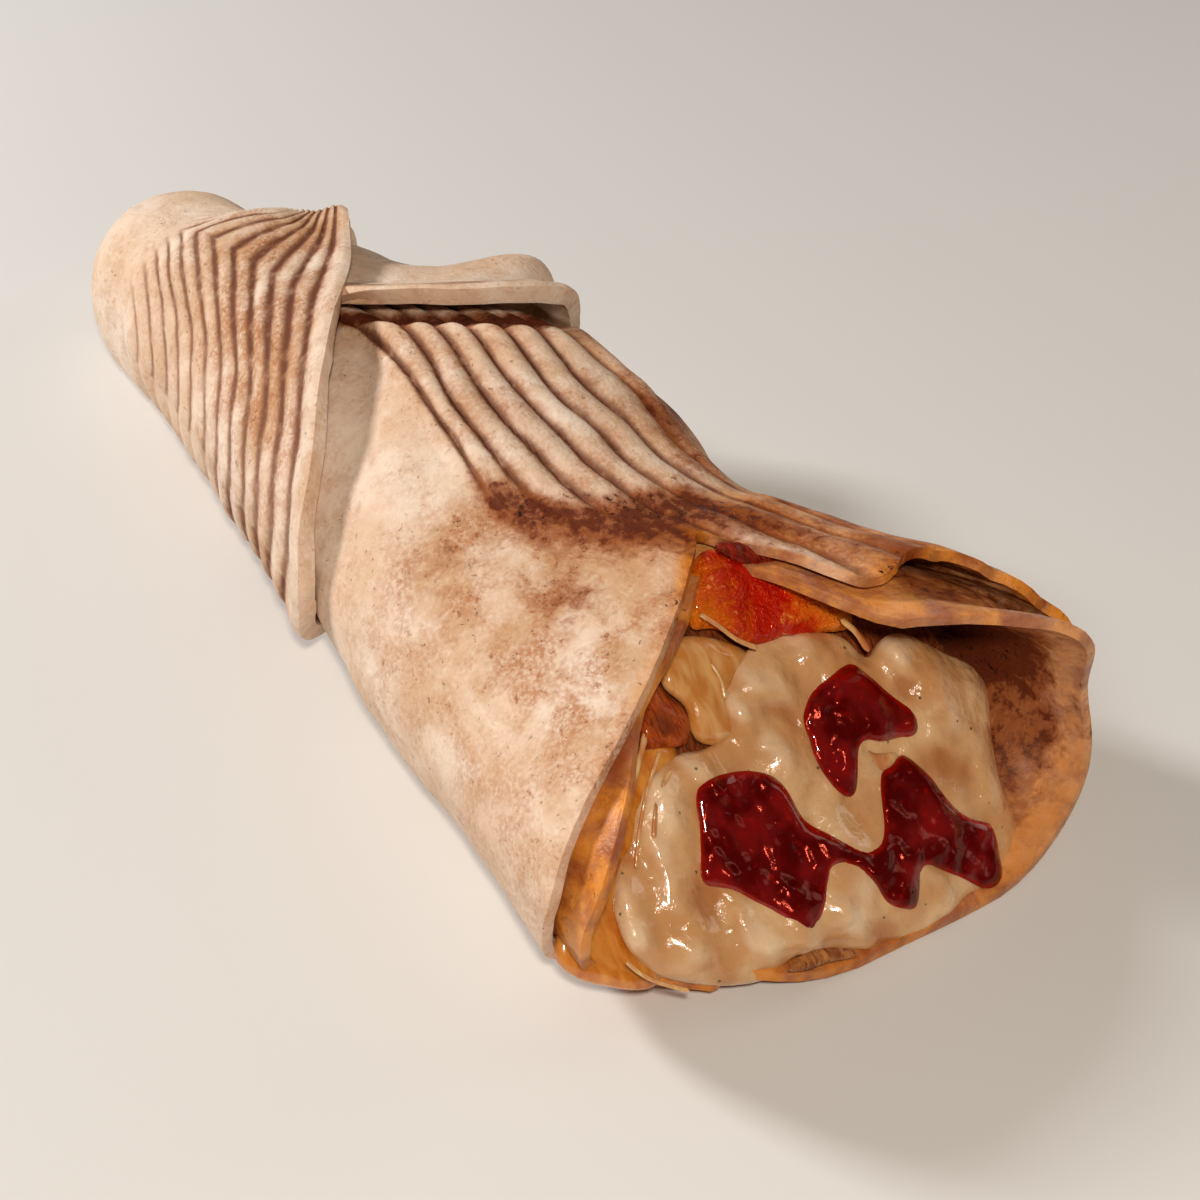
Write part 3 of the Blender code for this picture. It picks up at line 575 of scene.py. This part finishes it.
def rolled_sheet():
    """The bread's two turns round the filling, as one spiral."""

    def place(share, angle):
        turned = smooth((angle - 240.0) / 24.0)
        rim, edge = ring_through(INNER_RIM, angle), ring_through(OUTER_EDGE, angle)
        x = run_to(rim + (edge - rim) * turned, ROLL_START, share, ROLL_HEM)
        rolled = angle + 120.0
        offset = -LAYER * (2.0 - smooth(rolled / 30.0) - smooth((rolled - 360.0) / 30.0))
        line = angle - 360.0
        outside = (line > -120.0).astype(float)
        starting = 1.0 - smooth((x - ROLL_START) / 9.0)
        offset += outside * START_RISE * smooth((line + 110.0) / 30.0) * starting
        offset += outside * OUTER_GAPE * bell(line, 38.0, 16.0) * smooth((x - 180.0) / 20.0)
        offset += (1.0 - outside) * RIM_FLARE * bell(angle, 38.0, 20.0) * smooth((11.0 - rim + x) / 11.0)
        offset -= RIM_DROOP * bell(np.where(outside > 0, line, angle), 69.0, 7.0) * smooth((x - 184.0) / 18.0)
        underneath = smooth((rolled - 2.0) / 30.0) * smooth((10.0 - angle) / 50.0)
        offset += (1.0 - outside) * UNDER_RISE * underneath * smooth((x - 211.0) / 13.0)

        number = groove_number(x, line)
        beside_hood = outside * smooth((line - 95.0) / 10.0) * smooth((175.0 - line) / 25.0)
        offset -= HOOD_DENT * beside_hood * bell(x - ring_through(HOOD_LIP, line), 5.0, 9.0)
        scorched_at = curve_through(SCORCH_LINE, 1, line)
        ridged = smooth((number - 0.3) / 0.6) * smooth((8.4 - number) / 0.8)
        ridged *= smooth((scorched_at + 2.0 - x) / 14.0)
        ridged *= outside * smooth((x - 45.0) / 15.0)
        offset += RIDGE_HEIGHT * ridged * (np.abs(np.sin(np.pi * number)) ** 0.5 - 0.2)
        past_fold = x - curve_through(FOLD_LIP, 1, line)
        tucked = outside * smooth((7.0 - past_fold) / 7.0) * smooth((line + 40.0) / 40.0)
        offset -= TUCK * tucked * smooth((112.0 - line) / 20.0) * smooth((x - 60.0) / 15.0)
        along = smooth((x - scorched_at) / 6.0)
        furrows = outside * along * smooth((number - 3.0) / 1.5) * smooth((12.0 - number) / 3.0)
        offset += FURROW_HEIGHT * furrows * np.abs(np.sin(np.pi * number)) ** 0.7

        flat = on_wrap(x, angle, offset)
        loose = outside * smooth((x - 100.0) / 30.0)
        offset += unevenness(flat, 26.0, 1) * 1.1 * loose * (1.0 - 0.7 * ridged)
        offset += unevenness(flat, 9.0, 2) * 0.35 * (0.4 + 0.6 * loose)
        offset += unevenness(flat, 3.5, 3) * 0.12
        points = on_wrap(x, angle, offset)

        waver = unevenness(flat, 12.0, 4)
        marks = {"line": number, "line_width": 0.165}
        left_end = smooth((106.0 - line) / 3.0 + 1.0)
        creased = 0.55 * smooth((scorched_at + 26.0 - x) / 22.0)
        grooved = np.maximum(smooth((scorched_at + 4.0 - x) / 5.0), creased)
        grooved = 0.95 * smooth((number - 0.5) * 2) * smooth((7.6 - number) * 2) * left_end * grooved
        marks["line_dark"] = outside * (grooved + 0.75 * furrows)
        band = bell(x, scorched_at + 1.0 + waver * 4.0, 6.0) + 0.7 * bell(x, scorched_at + 9.0, 11.0)
        band *= smooth((line - 58.0) / 12.0) * smooth((112.0 - line) / 9.0)
        right_side = outside * smooth((62.0 - line) / 14.0) * smooth((line + 10.0) / 20.0)
        right_side = right_side * bell(x, 140.0, 26.0)
        back = outside * smooth((74.0 - line) / 10.0) * smooth((x - 158.0) / 12.0)
        back = back * smooth((line + 40.0) / 50.0)
        marks["scorch"] = outside * np.clip(
            0.68 * band + 0.7 * right_side * (0.6 + waver) + 0.42 * back * (0.8 + waver)
            + 0.5 * bell(x, 172.0, 9.0) * bell(line, 112.0, 9.0)
            + 0.35 * bell(x, 196.0, 12.0) * bell(line, 96.0, 9.0)
            + 0.3 * bell(x, 150.0, 8.0) * bell(line, 128.0, 12.0), 0, 1,
        )
        # Painted shade: the bread just under the back fold's lip is darkened like scorching, where the lip's
        # shadow falls.
        painted_shade_under_fold_lip = bell(past_fold, -1.0, 5.5) * smooth((line - 42.0) / 10.0)
        marks["scorch"] += 1.2 * outside * painted_shade_under_fold_lip * smooth((110.0 - line) / 8.0)
        # Scorched patches on the inner wall, plus painted shade that darkens it more the deeper it lies
        # inside the mouth.
        wall_scorch_and_shade = (1.0 - turned) * smooth((x - 185.0) / 15.0) * bell(angle, 0.0, 60.0)
        marks["scorch"] += wall_scorch_and_shade * (0.3 + 0.95 * smooth((rim - x - 3.0) / 9.0)) * (0.85 + 0.7 * waver)
        front = outside * smooth((x - scorched_at + 2.0) / 12.0) * smooth((line - 76.0) / 8.0)
        marks["toast"] = np.clip(
            front * (0.35 + 0.65 * bell(line, 112.0, 26.0)) * smooth((208.0 - line) / 60.0)
            + 0.3 * ridged + outside * 0.25 + 0.85 * right_side + 0.8 * back, 0, 1,
        )
        inner = (1.0 - turned) * smooth((x - 150.0) / 30.0) * (1.0 - 0.3 * bell(angle, 0.0, 60.0))
        near_notch = front * bell(line, 78.0, 16.0) * smooth((x - 150.0) / 20.0)
        edge_soaked = outside * smooth((4.0 - (edge - x)) / 4.0) * (0.6 + 0.6 * waver)
        edge_soaked = edge_soaked * smooth((150.0 - line) / 60.0)
        marks["oil"] = np.clip(
            inner + 0.62 * back + 0.4 * near_notch + edge_soaked + 0.3 * band + 0.3 * right_side, 0, 1,
        )
        marks["char"] = outside * sum(
            np.exp(-(((x - at) / 2.6) ** 2) - (((line - turn) * 0.8 / 2.4) ** 2))
            for at, turn in CHARRED_SPOTS
        )
        to_rim = np.where(outside > 0, edge, rim) - x
        marks["thickness"] = np.interp(to_rim, (0.0, 6.0, 20.0), (1.9, 2.1, 2.6))
        return points, marks

    lengthways = graded((0.0, 130), (BEFORE_HEM, 1), (1.0, 0))
    crossways = graded((-120, 30), (20, 36), (110, 28), (240, 70), (396, 110), (474, 70), (600, 0))
    return bread_sheet("rolled_bread", lengthways, crossways, ROLL_HEM, place)


def back_fold():
    """The flap of bread folded over the back, whose lip stands clear of the ridges."""

    def place(share, angle):
        lip = curve_through(FOLD_LIP, 1, angle)
        x = run_to(lip, FOLD_START, share, LIP_HEM)
        springing = 2.2 * (1.0 - smooth((x - FOLD_START) / 7.0))
        to_lip = lip - x
        puff = FOLD_PUFF * np.exp(-(((x - 84.0) / 8.5) ** 2) - ((angle - 30.0) / 20.0) ** 2)
        lifted = FOLD_LIFT * smooth((22.0 - to_lip) / 22.0) * smooth((108.0 - angle) / 14.0)
        standing = smooth((angle - 26.0) / 28.0)
        lifted *= 0.1 + 0.9 * standing
        offset = FOLD_OFFSET + springing + puff + lifted
        flat = on_wrap(x, angle, offset)
        offset += unevenness(flat, 14.0, 5) * 0.8 + unevenness(flat, 5.0, 6) * 0.25
        offset += 0.5 * bell(to_lip, 2.2, 2.2)
        lines = smooth((angle - 60.0) / 14.0) * smooth((to_lip - 2.0) / 1.5) * smooth((16.0 - to_lip) / 4.0)
        marks = {"line": to_lip / 2.6 + (angle - 80.0) / 40.0, "line_width": 0.22, "line_dark": lines}
        marks["toast"] = 0.25 + 0.5 * lines
        marks["thickness"] = np.interp(to_lip, (0.0, 10.0, 20.0), (THICKEST, 3.3, 2.8))
        marks["thickness"] = marks["thickness"] * (0.7 + 0.3 * standing)
        return on_wrap(x, angle, offset), marks

    lengthways = graded((0.0, 60), (BEFORE_HEM, 1), (1.0, 0))
    return bread_sheet("back_fold", lengthways, np.linspace(-50.0, 118.0, 121), LIP_HEM, place)


def tail_hood():
    """The bread drawn over the tail as a hood: a dome, then a sleeve out to its lip."""

    def place(share, angle):
        lip = ring_through(HOOD_LIP, angle)
        wrapped = (angle + 180.0) % 360.0 - 180.0
        x = run_to(lip, SLEEVE_START, np.clip((share - DOME_SHARE) / (1.0 - DOME_SHARE), 0.0, 1.0), LIP_HEM)
        to_lip = lip - x
        on_fold = smooth((x - 29.0) / 14.0) * smooth((wrapped + 50.0) / 23.0 + 1.1)
        on_fold = on_fold * smooth((118.0 - wrapped) / 23.0 + 1.1)
        lifted = HOOD_PEAK * bell(wrapped, 66.0, 10.0) * smooth((15.0 - to_lip) / 15.0) ** 1.5
        flared = HOOD_FLARE * smooth((9.0 - to_lip) / 9.0)
        flared = flared * smooth((wrapped - 88.0) / 20.0) * smooth((190.0 - wrapped) / 30.0)
        ring = on_wrap(x, angle, HOOD_OFFSET + HOOD_OVER_FOLD * on_fold + lifted + flared)
        turn = np.clip(share / DOME_SHARE, 0.0, 1.0) * math.pi / 2
        centre, _, _, widest, _ = section_at(SLEEVE_START)
        middle = np.array((SLEEVE_START, centre, widest))
        spread = np.sin(turn)[:, None]
        reach = np.stack((DOME_REACH * np.cos(turn), 0 * turn, 0 * turn), -1)
        dome = middle + (ring - middle) * spread - reach
        flat = np.where((share <= DOME_SHARE)[:, None], dome, ring)

        bulge = unevenness(flat, 18.0, 7) * 0.7 + unevenness(flat, 6.0, 8) * 0.2
        bulge += unevenness(flat, 2.5, 9) * 0.08
        crowding = np.interp(
            wrapped, (-180, 30, 50, 64, 78, 92, 104, 180), (1.0, 0.4, 0.2, 0.2, 0.42, 0.75, 1.0, 1.0),
        )
        line = (to_lip - 1.5) / (HOOD_LINE_SPACING * crowding)
        spoke = smooth((wrapped - 46.0) / 12.0) + smooth((20.0 - wrapped) / 30.0)
        dark = smooth((line - 0.4) * 3) * smooth((15.5 - line) / 5.0) * smooth((x - 26.0) / 8.0)
        dark = dark * np.clip(spoke, 0, 1)
        bulge += -0.25 * dark * np.cos(2 * np.pi * line) + 0.75 * bell(to_lip, 2.6, 2.6)
        outward = flat - middle
        outward[:, 0] = np.minimum(outward[:, 0], 0.0)
        outward /= np.linalg.norm(outward, axis=1)[:, None] + 1e-6
        dark = dark * (1.0 - 0.8 * smooth((line - 5.0) / 3.0) * smooth((84.0 - wrapped) / 10.0))
        low = smooth((wrapped - 120.0) / 45.0)
        dark = dark * (1.0 - 0.25 * low)
        marks = {"line": line, "line_dark": dark * (0.82 + 0.18 * smooth((8.0 - line) / 4.0))}
        marks["line_width"] = np.interp(line, (0.5, 3.0, 6.0, 12.0), (0.26, 0.28, 0.2, 0.15))
        marks["line_width"] = marks["line_width"] * (1.0 - 0.2 * low)
        browned = bell(line, 3.6, 3.4) * smooth((wrapped - 60.0) / 20.0) * smooth((175.0 - wrapped) / 35.0)
        marks["toast"] = 0.15 + 0.25 * dark + 0.65 * browned
        marks["thickness"] = np.interp(to_lip, (0.0, 8.0), (THICKEST, 2.6))
        return flat + outward * bulge[:, None], marks

    hem_share = DOME_SHARE + (1.0 - DOME_SHARE) * BEFORE_HEM
    lengthways = graded((0.0, 44), (DOME_SHARE, 120), (hem_share, 1), (1.0, 0))
    return bread_sheet("tail_hood", lengthways, np.linspace(0.0, 360.0, 233), LIP_HEM, place)


# What shows at the mouth, read across and down the photograph's own frame

CAMERA_AT, CAMERA_AIM = np.array((413.0, -191.7, 316.3)), np.array((140.0, 14.0, 8.5))
LENS, SENSOR_WIDTH = 75.0, 36.0
PHOTO_WIDTH = 1200.0


def seen_at(spots):
    """Where the lines of sight through spots of the photograph meet the mouth's face: (across, height)."""
    ahead = (CAMERA_AIM - CAMERA_AT) / np.linalg.norm(CAMERA_AIM - CAMERA_AT)
    right = np.cross(ahead, (0.0, 0.0, 1.0))
    right /= np.linalg.norm(right)
    up = np.cross(right, ahead)
    places = []
    for across, down in spots:
        sight = ahead * (PHOTO_WIDTH * LENS / SENSOR_WIDTH)
        sight = sight + right * (across - PHOTO_WIDTH / 2) - up * (down - PHOTO_WIDTH / 2)
        reach = (MOUTH_AT - CAMERA_AT[0] - CAMERA_AT[2]) / (sight[0] + sight[2])
        places.append((CAMERA_AT + sight * reach)[1:])
    return np.array(places)


def rounded(corners, spacing):
    """A closed smooth curve through the corners, as points about the spacing apart."""
    loop = []
    for before, start, end, beyond in zip(*(np.roll(corners, shift, axis=0) for shift in (1, 0, -1, -2))):
        leave, arrive = (end - before) / 2, (beyond - start) / 2
        steps = max(1, round(float(np.linalg.norm(end - start)) / spacing))
        for t in np.arange(steps) / steps:
            place = (2 * t**3 - 3 * t**2 + 1) * start + (3 * t**2 - 2 * t**3) * end
            loop.append(place + (t**3 - 2 * t**2 + t) * leave + (t**3 - t**2) * arrive)
    return np.array(loop)


def inset_in(places, loop):
    """How far each place lies inside the loop's edge."""
    nearest = np.full(len(places), 1e9)
    for start, end in zip(loop, np.roll(loop, -1, axis=0)):
        along = end - start
        share = np.clip((places - start) @ along / (along @ along), 0.0, 1.0)
        nearest = np.minimum(nearest, np.linalg.norm(places - start - share[:, None] * along, axis=1))
    return nearest


def helping(name, spots, out, thickness, grain, rim, seed):
    """A rounded helping of food on the mouth's face, with this outline. Its top stands this far out."""
    loop = rounded(seen_at(spots), grain * 1.5)
    bpy.ops.object.select_all(action="DESELECT")
    bpy.ops.mesh.primitive_circle_add(vertices=len(loop), radius=0.01, fill_type="NGON")
    piece = newest(name)
    set_points(piece, np.column_stack((np.zeros(len(loop)), loop)))
    deep = {"value": (grain * 0.004, 0.0, 0.0)}
    edit(
        piece,
        lambda: bpy.ops.mesh.extrude_region_move(TRANSFORM_OT_translate=deep),
        lambda: bpy.ops.mesh.select_all(action="SELECT"),
        lambda: bpy.ops.mesh.normals_make_consistent(inside=False),
    )
    finish_with(piece, "REMESH", mode="VOXEL", voxel_size=grain * 0.001)
    flat = points_of(piece)
    depth = np.clip(flat[:, 0] / (grain * 4.0), 0.0, 1.0)
    places = flat[:, 1:]
    inset = inset_in(places, loop)
    rounding = np.sqrt(1.0 - (1.0 - np.clip(inset / rim, 0.0, 1.0)) ** 2)
    top = out(places[:, 0], places[:, 1]) if callable(out) else np.full(len(places), float(out))
    lumpy = np.column_stack((np.zeros(len(places)), places))
    for size, height in ((rim * 2.2, 0.16), (rim, 0.09), (rim * 0.45, 0.045)):
        top = top + unevenness(lumpy, size, seed + size) * thickness * height
    bottom = top - thickness
    middle = bottom + thickness * 0.45
    face = np.where(depth > 0.5, top, bottom)
    height = middle + (face - middle) * rounding * smooth(np.abs(depth - 0.5) * 2.0)
    set_points(piece, on_face(places[:, 0], places[:, 1], height))
    finish_with(piece, "SMOOTH", factor=0.5, iterations=2)
    note(piece, "across", (places[:, 0] - places[:, 0].min()) / np.ptp(places[:, 0]))
    note(piece, "edge", np.clip(inset / rim, 0.0, 1.0))
    return piece


def crop(*spots):
    """Spots that were read off an enlargement of the mouth."""
    return [(520.0 + across / 2.4, 500.0 + down / 2.4) for across, down in spots]


def strip(trail, width):
    """The outline of a strip of this width along a trail of spots."""
    trail = np.array(trail, float)
    ahead = np.gradient(trail, axis=0)
    ahead /= np.linalg.norm(ahead, axis=1)[:, None]
    side = np.column_stack((-ahead[:, 1], ahead[:, 0])) * width / 2
    return np.concatenate((trail + side, (trail - side)[::-1]))


# The sauce's lumps and hollows: where each is on the enlargement, and how proud it stands.
CURDS = (
    (540, 520, 1.5), (640, 440, 1.4), (365, 740, 1.3), (500, 380, 1.0), (905, 375, 1.2), (1000, 430, 1.0),
    (300, 1050, 1.4), (420, 1085, 1.5), (470, 1000, -1.5), (545, 1010, 1.3), (590, 1060, 1.2),
    (260, 960, 1.4), (300, 900, -1.2), (345, 860, 1.3), (780, 990, 1.4), (850, 1010, -1.2),
    (700, 1075, 1.2), (790, 900, 1.3), (620, 780, -0.8), (580, 440, 1.2), (700, 370, 1.2),
    (1090, 470, 1.4), (1100, 580, 1.2), (1010, 610, -1.4), (930, 450, -1.2), (1130, 700, 1.3),
    (1020, 960, 1.2), (1100, 980, -1.0), (250, 1080, 1.2), (370, 960, 1.1), (640, 600, 1.0),
    (720, 700, -0.8), (750, 780, 1.0), (640, 520, -0.8), (330, 680, 1.4), (430, 640, 1.3),
)
CURD_PLACES = seen_at(crop(*((across, down) for across, down, _ in CURDS)))
CURD_HEIGHTS = [proud for _, _, proud in CURDS]


def curds(across, height):
    """The lumps and hollows of the garlic sauce, on top of its broad form."""
    total = 0.0 * across
    for (aside, above), proud in zip(CURD_PLACES, CURD_HEIGHTS):
        total += 1.3 * proud * bell(across, aside, 2.5) * bell(height, above, 2.2)
    spots = np.column_stack((0.0 * across, across, height))
    return total + 1.5 * unevenness(spots, 6.0, 31) + 0.7 * unevenness(spots, 2.8, 32)


def garlic_top(across, height):
    """How far the garlic sauce stands out: it bellies over the lower lip, and in a lobe at the right."""
    belly = 6.5 * bell(across, 8.0, 30.0) * bell(height, 8.0, 12.0)
    lobe = 3.4 * bell(across, 30.0, 9.0) * bell(height, 25.0, 9.0)
    ridge = 1.6 * bell(across, 19.0, 4.0) * bell(height, 30.0, 7.0)
    fold = -1.6 * bell(across - (height - 24.0) * 0.35, 24.5, 2.2) * bell(height, 24.0, 7.0)
    left = 1.2 * bell(across, -24.0, 9.0) * bell(height, 16.0, 7.0)
    return -3.0 + belly + lobe + ridge + fold + left + curds(across, height)


GARLIC_SAUCE = crop(
    (560, 350), (620, 330), (690, 318), (760, 322), (800, 345), (838, 385), (862, 345), (905, 318),
    (960, 332), (1025, 368), (1085, 392), (1122, 432), (1136, 480), (1140, 560), (1150, 640), (1168, 700),
    (1192, 750), (1200, 830), (1180, 905), (1110, 970), (1000, 1030), (880, 1075), (760, 1085),
    (660, 1100), (610, 1150), (520, 1175), (400, 1170), (310, 1140), (255, 1080), (225, 990), (232, 880),
    (262, 770), (310, 680), (370, 620), (450, 600), (500, 560), (490, 480), (520, 410),
)
LOWER_CHILLI = crop(
    (425, 700), (460, 670), (510, 655), (560, 652), (610, 665), (645, 700), (665, 740), (690, 775),
    (740, 800), (790, 825), (835, 838), (862, 825), (872, 785), (868, 735), (865, 690), (870, 650),
    (892, 640), (912, 612), (932, 617), (962, 642), (990, 670), (1012, 702), (1050, 745), (1085, 765),
    (1125, 775), (1140, 800), (1150, 850), (1158, 900), (1145, 925), (1110, 930), (1060, 905),
    (1010, 885), (975, 870), (958, 885), (955, 930), (945, 975), (910, 975), (875, 960), (855, 925),
    (830, 895), (800, 875), (765, 868), (745, 885), (735, 930), (725, 985), (700, 1035), (675, 1035),
    (645, 1010), (610, 985), (560, 960), (510, 935), (440, 920), (435, 850), (432, 780), (425, 740),
)
UPPER_CHILLI = crop(
    (690, 490), (710, 455), (745, 425), (775, 400), (800, 393), (825, 410), (860, 440), (900, 475),
    (940, 505), (955, 540), (945, 565), (905, 572), (870, 580), (835, 575), (815, 590), (812, 640),
    (810, 690), (795, 715), (765, 700), (735, 665), (710, 620), (695, 570), (682, 530),
)
TOMATO = crop(
    (430, 130), (500, 120), (580, 140), (660, 180), (740, 215), (800, 270), (795, 310), (720, 320),
    (640, 330), (560, 350), (470, 310), (410, 310), (400, 230),
)
# A thin dark red strip laid in the crevice under the bread's rim: painted shadow, not a real piece of food.
CREVICE_SHADOW_OUTLINE = crop(
    (465, 105), (530, 100), (610, 100), (680, 140), (740, 185), (800, 225), (790, 240), (720, 205),
    (650, 185), (570, 165), (500, 140),
)
CABBAGE = crop(
    (385, 330), (450, 330), (520, 350), (560, 380), (540, 420), (500, 480), (520, 560), (500, 590),
    (440, 590), (410, 560), (400, 500), (350, 460), (335, 420), (350, 360),
)
CHICKEN = crop(
    (300, 470), (330, 440), (350, 470), (400, 510), (412, 560), (400, 592), (350, 600), (290, 600),
    (280, 530),
)
ONION_BIT = crop(
    (822, 580), (850, 600), (900, 600), (918, 620), (900, 655), (870, 668), (850, 640), (830, 610),
)
OILY_ONION = (
    (652, 740), (630, 765), (612, 800), (590, 850), (572, 900), (556, 940), (556, 968), (585, 988),
    (640, 996), (662, 985), (668, 950), (650, 900), (650, 850), (664, 800), (680, 770), (676, 748),
)
# Each onion shred's trail and width, and then how far each one stands out.
SHREDS = (
    (((700, 614), (716, 624), (738, 640), (758, 648)), 5.0), (((836, 595), (848, 606), (864, 618)), 4.0),
    (((850, 594), (878, 604), (902, 621)), 3.5), (((842, 620), (856, 632), (868, 650)), 6.0),
    (((648, 726), (640, 760), (630, 800), (618, 850)), 6.0), (((672, 770), (658, 800), (654, 840)), 5.0),
    (((660, 752), (648, 790), (640, 830), (636, 870)), 4.0), (((600, 870), (592, 905), (590, 940)), 5.0),
    (((712, 664), (722, 680), (726, 700)), 4.0), (((625, 960), (650, 978), (690, 990)), 4.0),
)
SHRED_OUT = (0.0, -1.0, 0.5, 0.5, -2.5, -1.5, -1.5, -4.0, -2.5, 2.5)
SCRAP = crop((640, 1125), (680, 1085), (740, 1070), (800, 1078), (812, 1090), (740, 1105), (680, 1125))


bread = bread_finish()
hand_over(rolled_sheet(), "flatbread", bread, "flatbread")
hand_over(back_fold(), "flatbread", bread, "flatbread")
hand_over(tail_hood(), "flatbread", bread, "flatbread")

garlic = garlic_sauce_finish()
sauce = helping("garlic_sauce", GARLIC_SAUCE, garlic_top, 7.0, 0.8, 4.5, 2)
lumps = curds(*points_of(sauce)[:, 1:].T)
# Masks for the painted light on the lumps and the painted shade in the hollows.
note(sauce, "proud", smooth((lumps - 0.3) / 1.6))
note(sauce, "sunk", smooth((-lumps - 0.1) / 1.3))
hand_over(sauce, "garlic_sauce", garlic, "white_sauce")


def chilli_top(across, height):
    """How far the chilli sauce stands out of the face: a little proud of the garlic sauce."""
    return garlic_top(across, height) - curds(across, height) * 0.7 + 1.7


chilli = chilli_sauce_finish()
pool = helping("chilli_sauce_low", LOWER_CHILLI, chilli_top, 2.6, 0.6, 2.0, 5)
hand_over(pool, "chilli_sauce", chilli, "chilli_sauce_lower")
pool = helping("chilli_sauce_high", UPPER_CHILLI, chilli_top, 2.6, 0.6, 2.0, 9)
hand_over(pool, "chilli_sauce", chilli, "chilli_sauce_upper")

hand_over(helping("tomato_slice", TOMATO, -2.5, 6.0, 0.7, 3.0, 11), "tomato", tomato_finish(), "tomato")
# Painted shadow: a dark red strip with a meat-like finish, filling the shaded crevice under the rim.
crevice_shadow = meat_finish("painted_crevice_shadow", tint(150, 14, 4), tint(84, 6, 2), 0.25)
hand_over(helping("crevice_shadow_strip", CREVICE_SHADOW_OUTLINE, -1.5, 3.0, 0.6, 1.5, 12), "tomato", crevice_shadow)
salad = salad_finish("wet_cabbage", tint(220, 170, 108), tint(196, 124, 44))
hand_over(helping("cabbage_leaf", CABBAGE, -4.0, 5.0, 0.7, 3.0, 13), "cabbage", salad, "cabbage")
roast = meat_finish("roast_chicken", tint(190, 88, 22), tint(140, 42, 6), 0.25)
hand_over(helping("chicken_strip", CHICKEN, -2.5, 6.0, 0.7, 2.5, 14), "meat", roast, "chicken_piece")
onion = salad_finish("chopped_onion", tint(232, 186, 128), tint(196, 120, 66))
hand_over(helping("onion_bit", ONION_BIT, -0.5, 3.0, 0.5, 1.6, 15), "cabbage", onion)
oily = salad_finish("oil_soaked_onion", tint(222, 150, 62), tint(190, 104, 16))
hand_over(helping("oily_onion", OILY_ONION, -5.0, 5.0, 0.7, 3.0, 17), "cabbage", oily)
for number, (trail, width) in enumerate(SHREDS):
    outline = strip(trail, width)
    shred = helping(f"onion_shred_{number + 1}", outline, SHRED_OUT[number], 1.6, 0.4, 0.8, 20 + number)
    hand_over(shred, "cabbage", onion)
crust = meat_finish("crisp_crust", tint(196, 130, 70), tint(124, 62, 24), 0.2)
hand_over(helping("crust_scrap", SCRAP, 3.5, 2.2, 0.5, 1.2, 16), "flatbread", crust, "bread_scrap")

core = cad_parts["filling"]
core.data.materials.clear()
core.data.materials.append(meat_finish("packed_filling", tint(150, 70, 26), tint(84, 28, 8), 0.4))


# The floor, the light and the camera


def metres(point):
    """A point in millimetres, in the scene's own frame."""
    return Vector((np.asarray(point) - FOOTPRINT_MIDDLE) * 0.001)


def aim(thing, target):
    """Turns a light or camera towards the target."""
    thing.rotation_euler = (metres(target) - thing.location).to_track_quat("-Z", "Y").to_euler()


bpy.ops.object.select_all(action="DESELECT")
bpy.ops.mesh.primitive_plane_add(size=6.0, location=(0.0, 0.0, 0.0))
floor = newest("floor")
pale = Finish("pale_floor")
floor.data.materials.append(pale.shade(Base_Color=(0.72, 0.71, 0.69), Roughness=0.8))

for name, place, size, power, colour in (
    ("key_light", (-523.0, -392.0, 490.0), 0.15, 6.6, (1.0, 0.975, 0.96)),
    ("front_light", (470.0, -220.0, 450.0), 0.04, 2.0, (1.0, 0.88, 0.75)),
    ("side_light", (260.0, 520.0, 300.0), 0.3, 0.5, (1.0, 0.9, 0.8)),
):
    bpy.ops.object.light_add(type="AREA", location=metres(place))
    light = bpy.context.object
    light.name = name
    light.data.size = size
    light.data.energy = power
    light.data.color = colour
    aim(light, (130.0, 5.0, 25.0))

world = bpy.data.worlds.new("soft_room")
bpy.context.scene.world = world
world.use_nodes = True
world.node_tree.nodes["Background"].inputs["Color"].default_value = (1.0, 0.97, 0.94, 1.0)
world.node_tree.nodes["Background"].inputs["Strength"].default_value = 0.085

bpy.ops.object.camera_add(location=metres(CAMERA_AT))
camera = bpy.context.object
camera.name = "camera"
camera.data.lens = LENS
camera.data.sensor_width = SENSOR_WIDTH
camera.data.clip_start = 0.01
aim(camera, CAMERA_AIM)
bpy.context.scene.camera = camera
bpy.context.scene.view_settings.view_transform = "Standard"
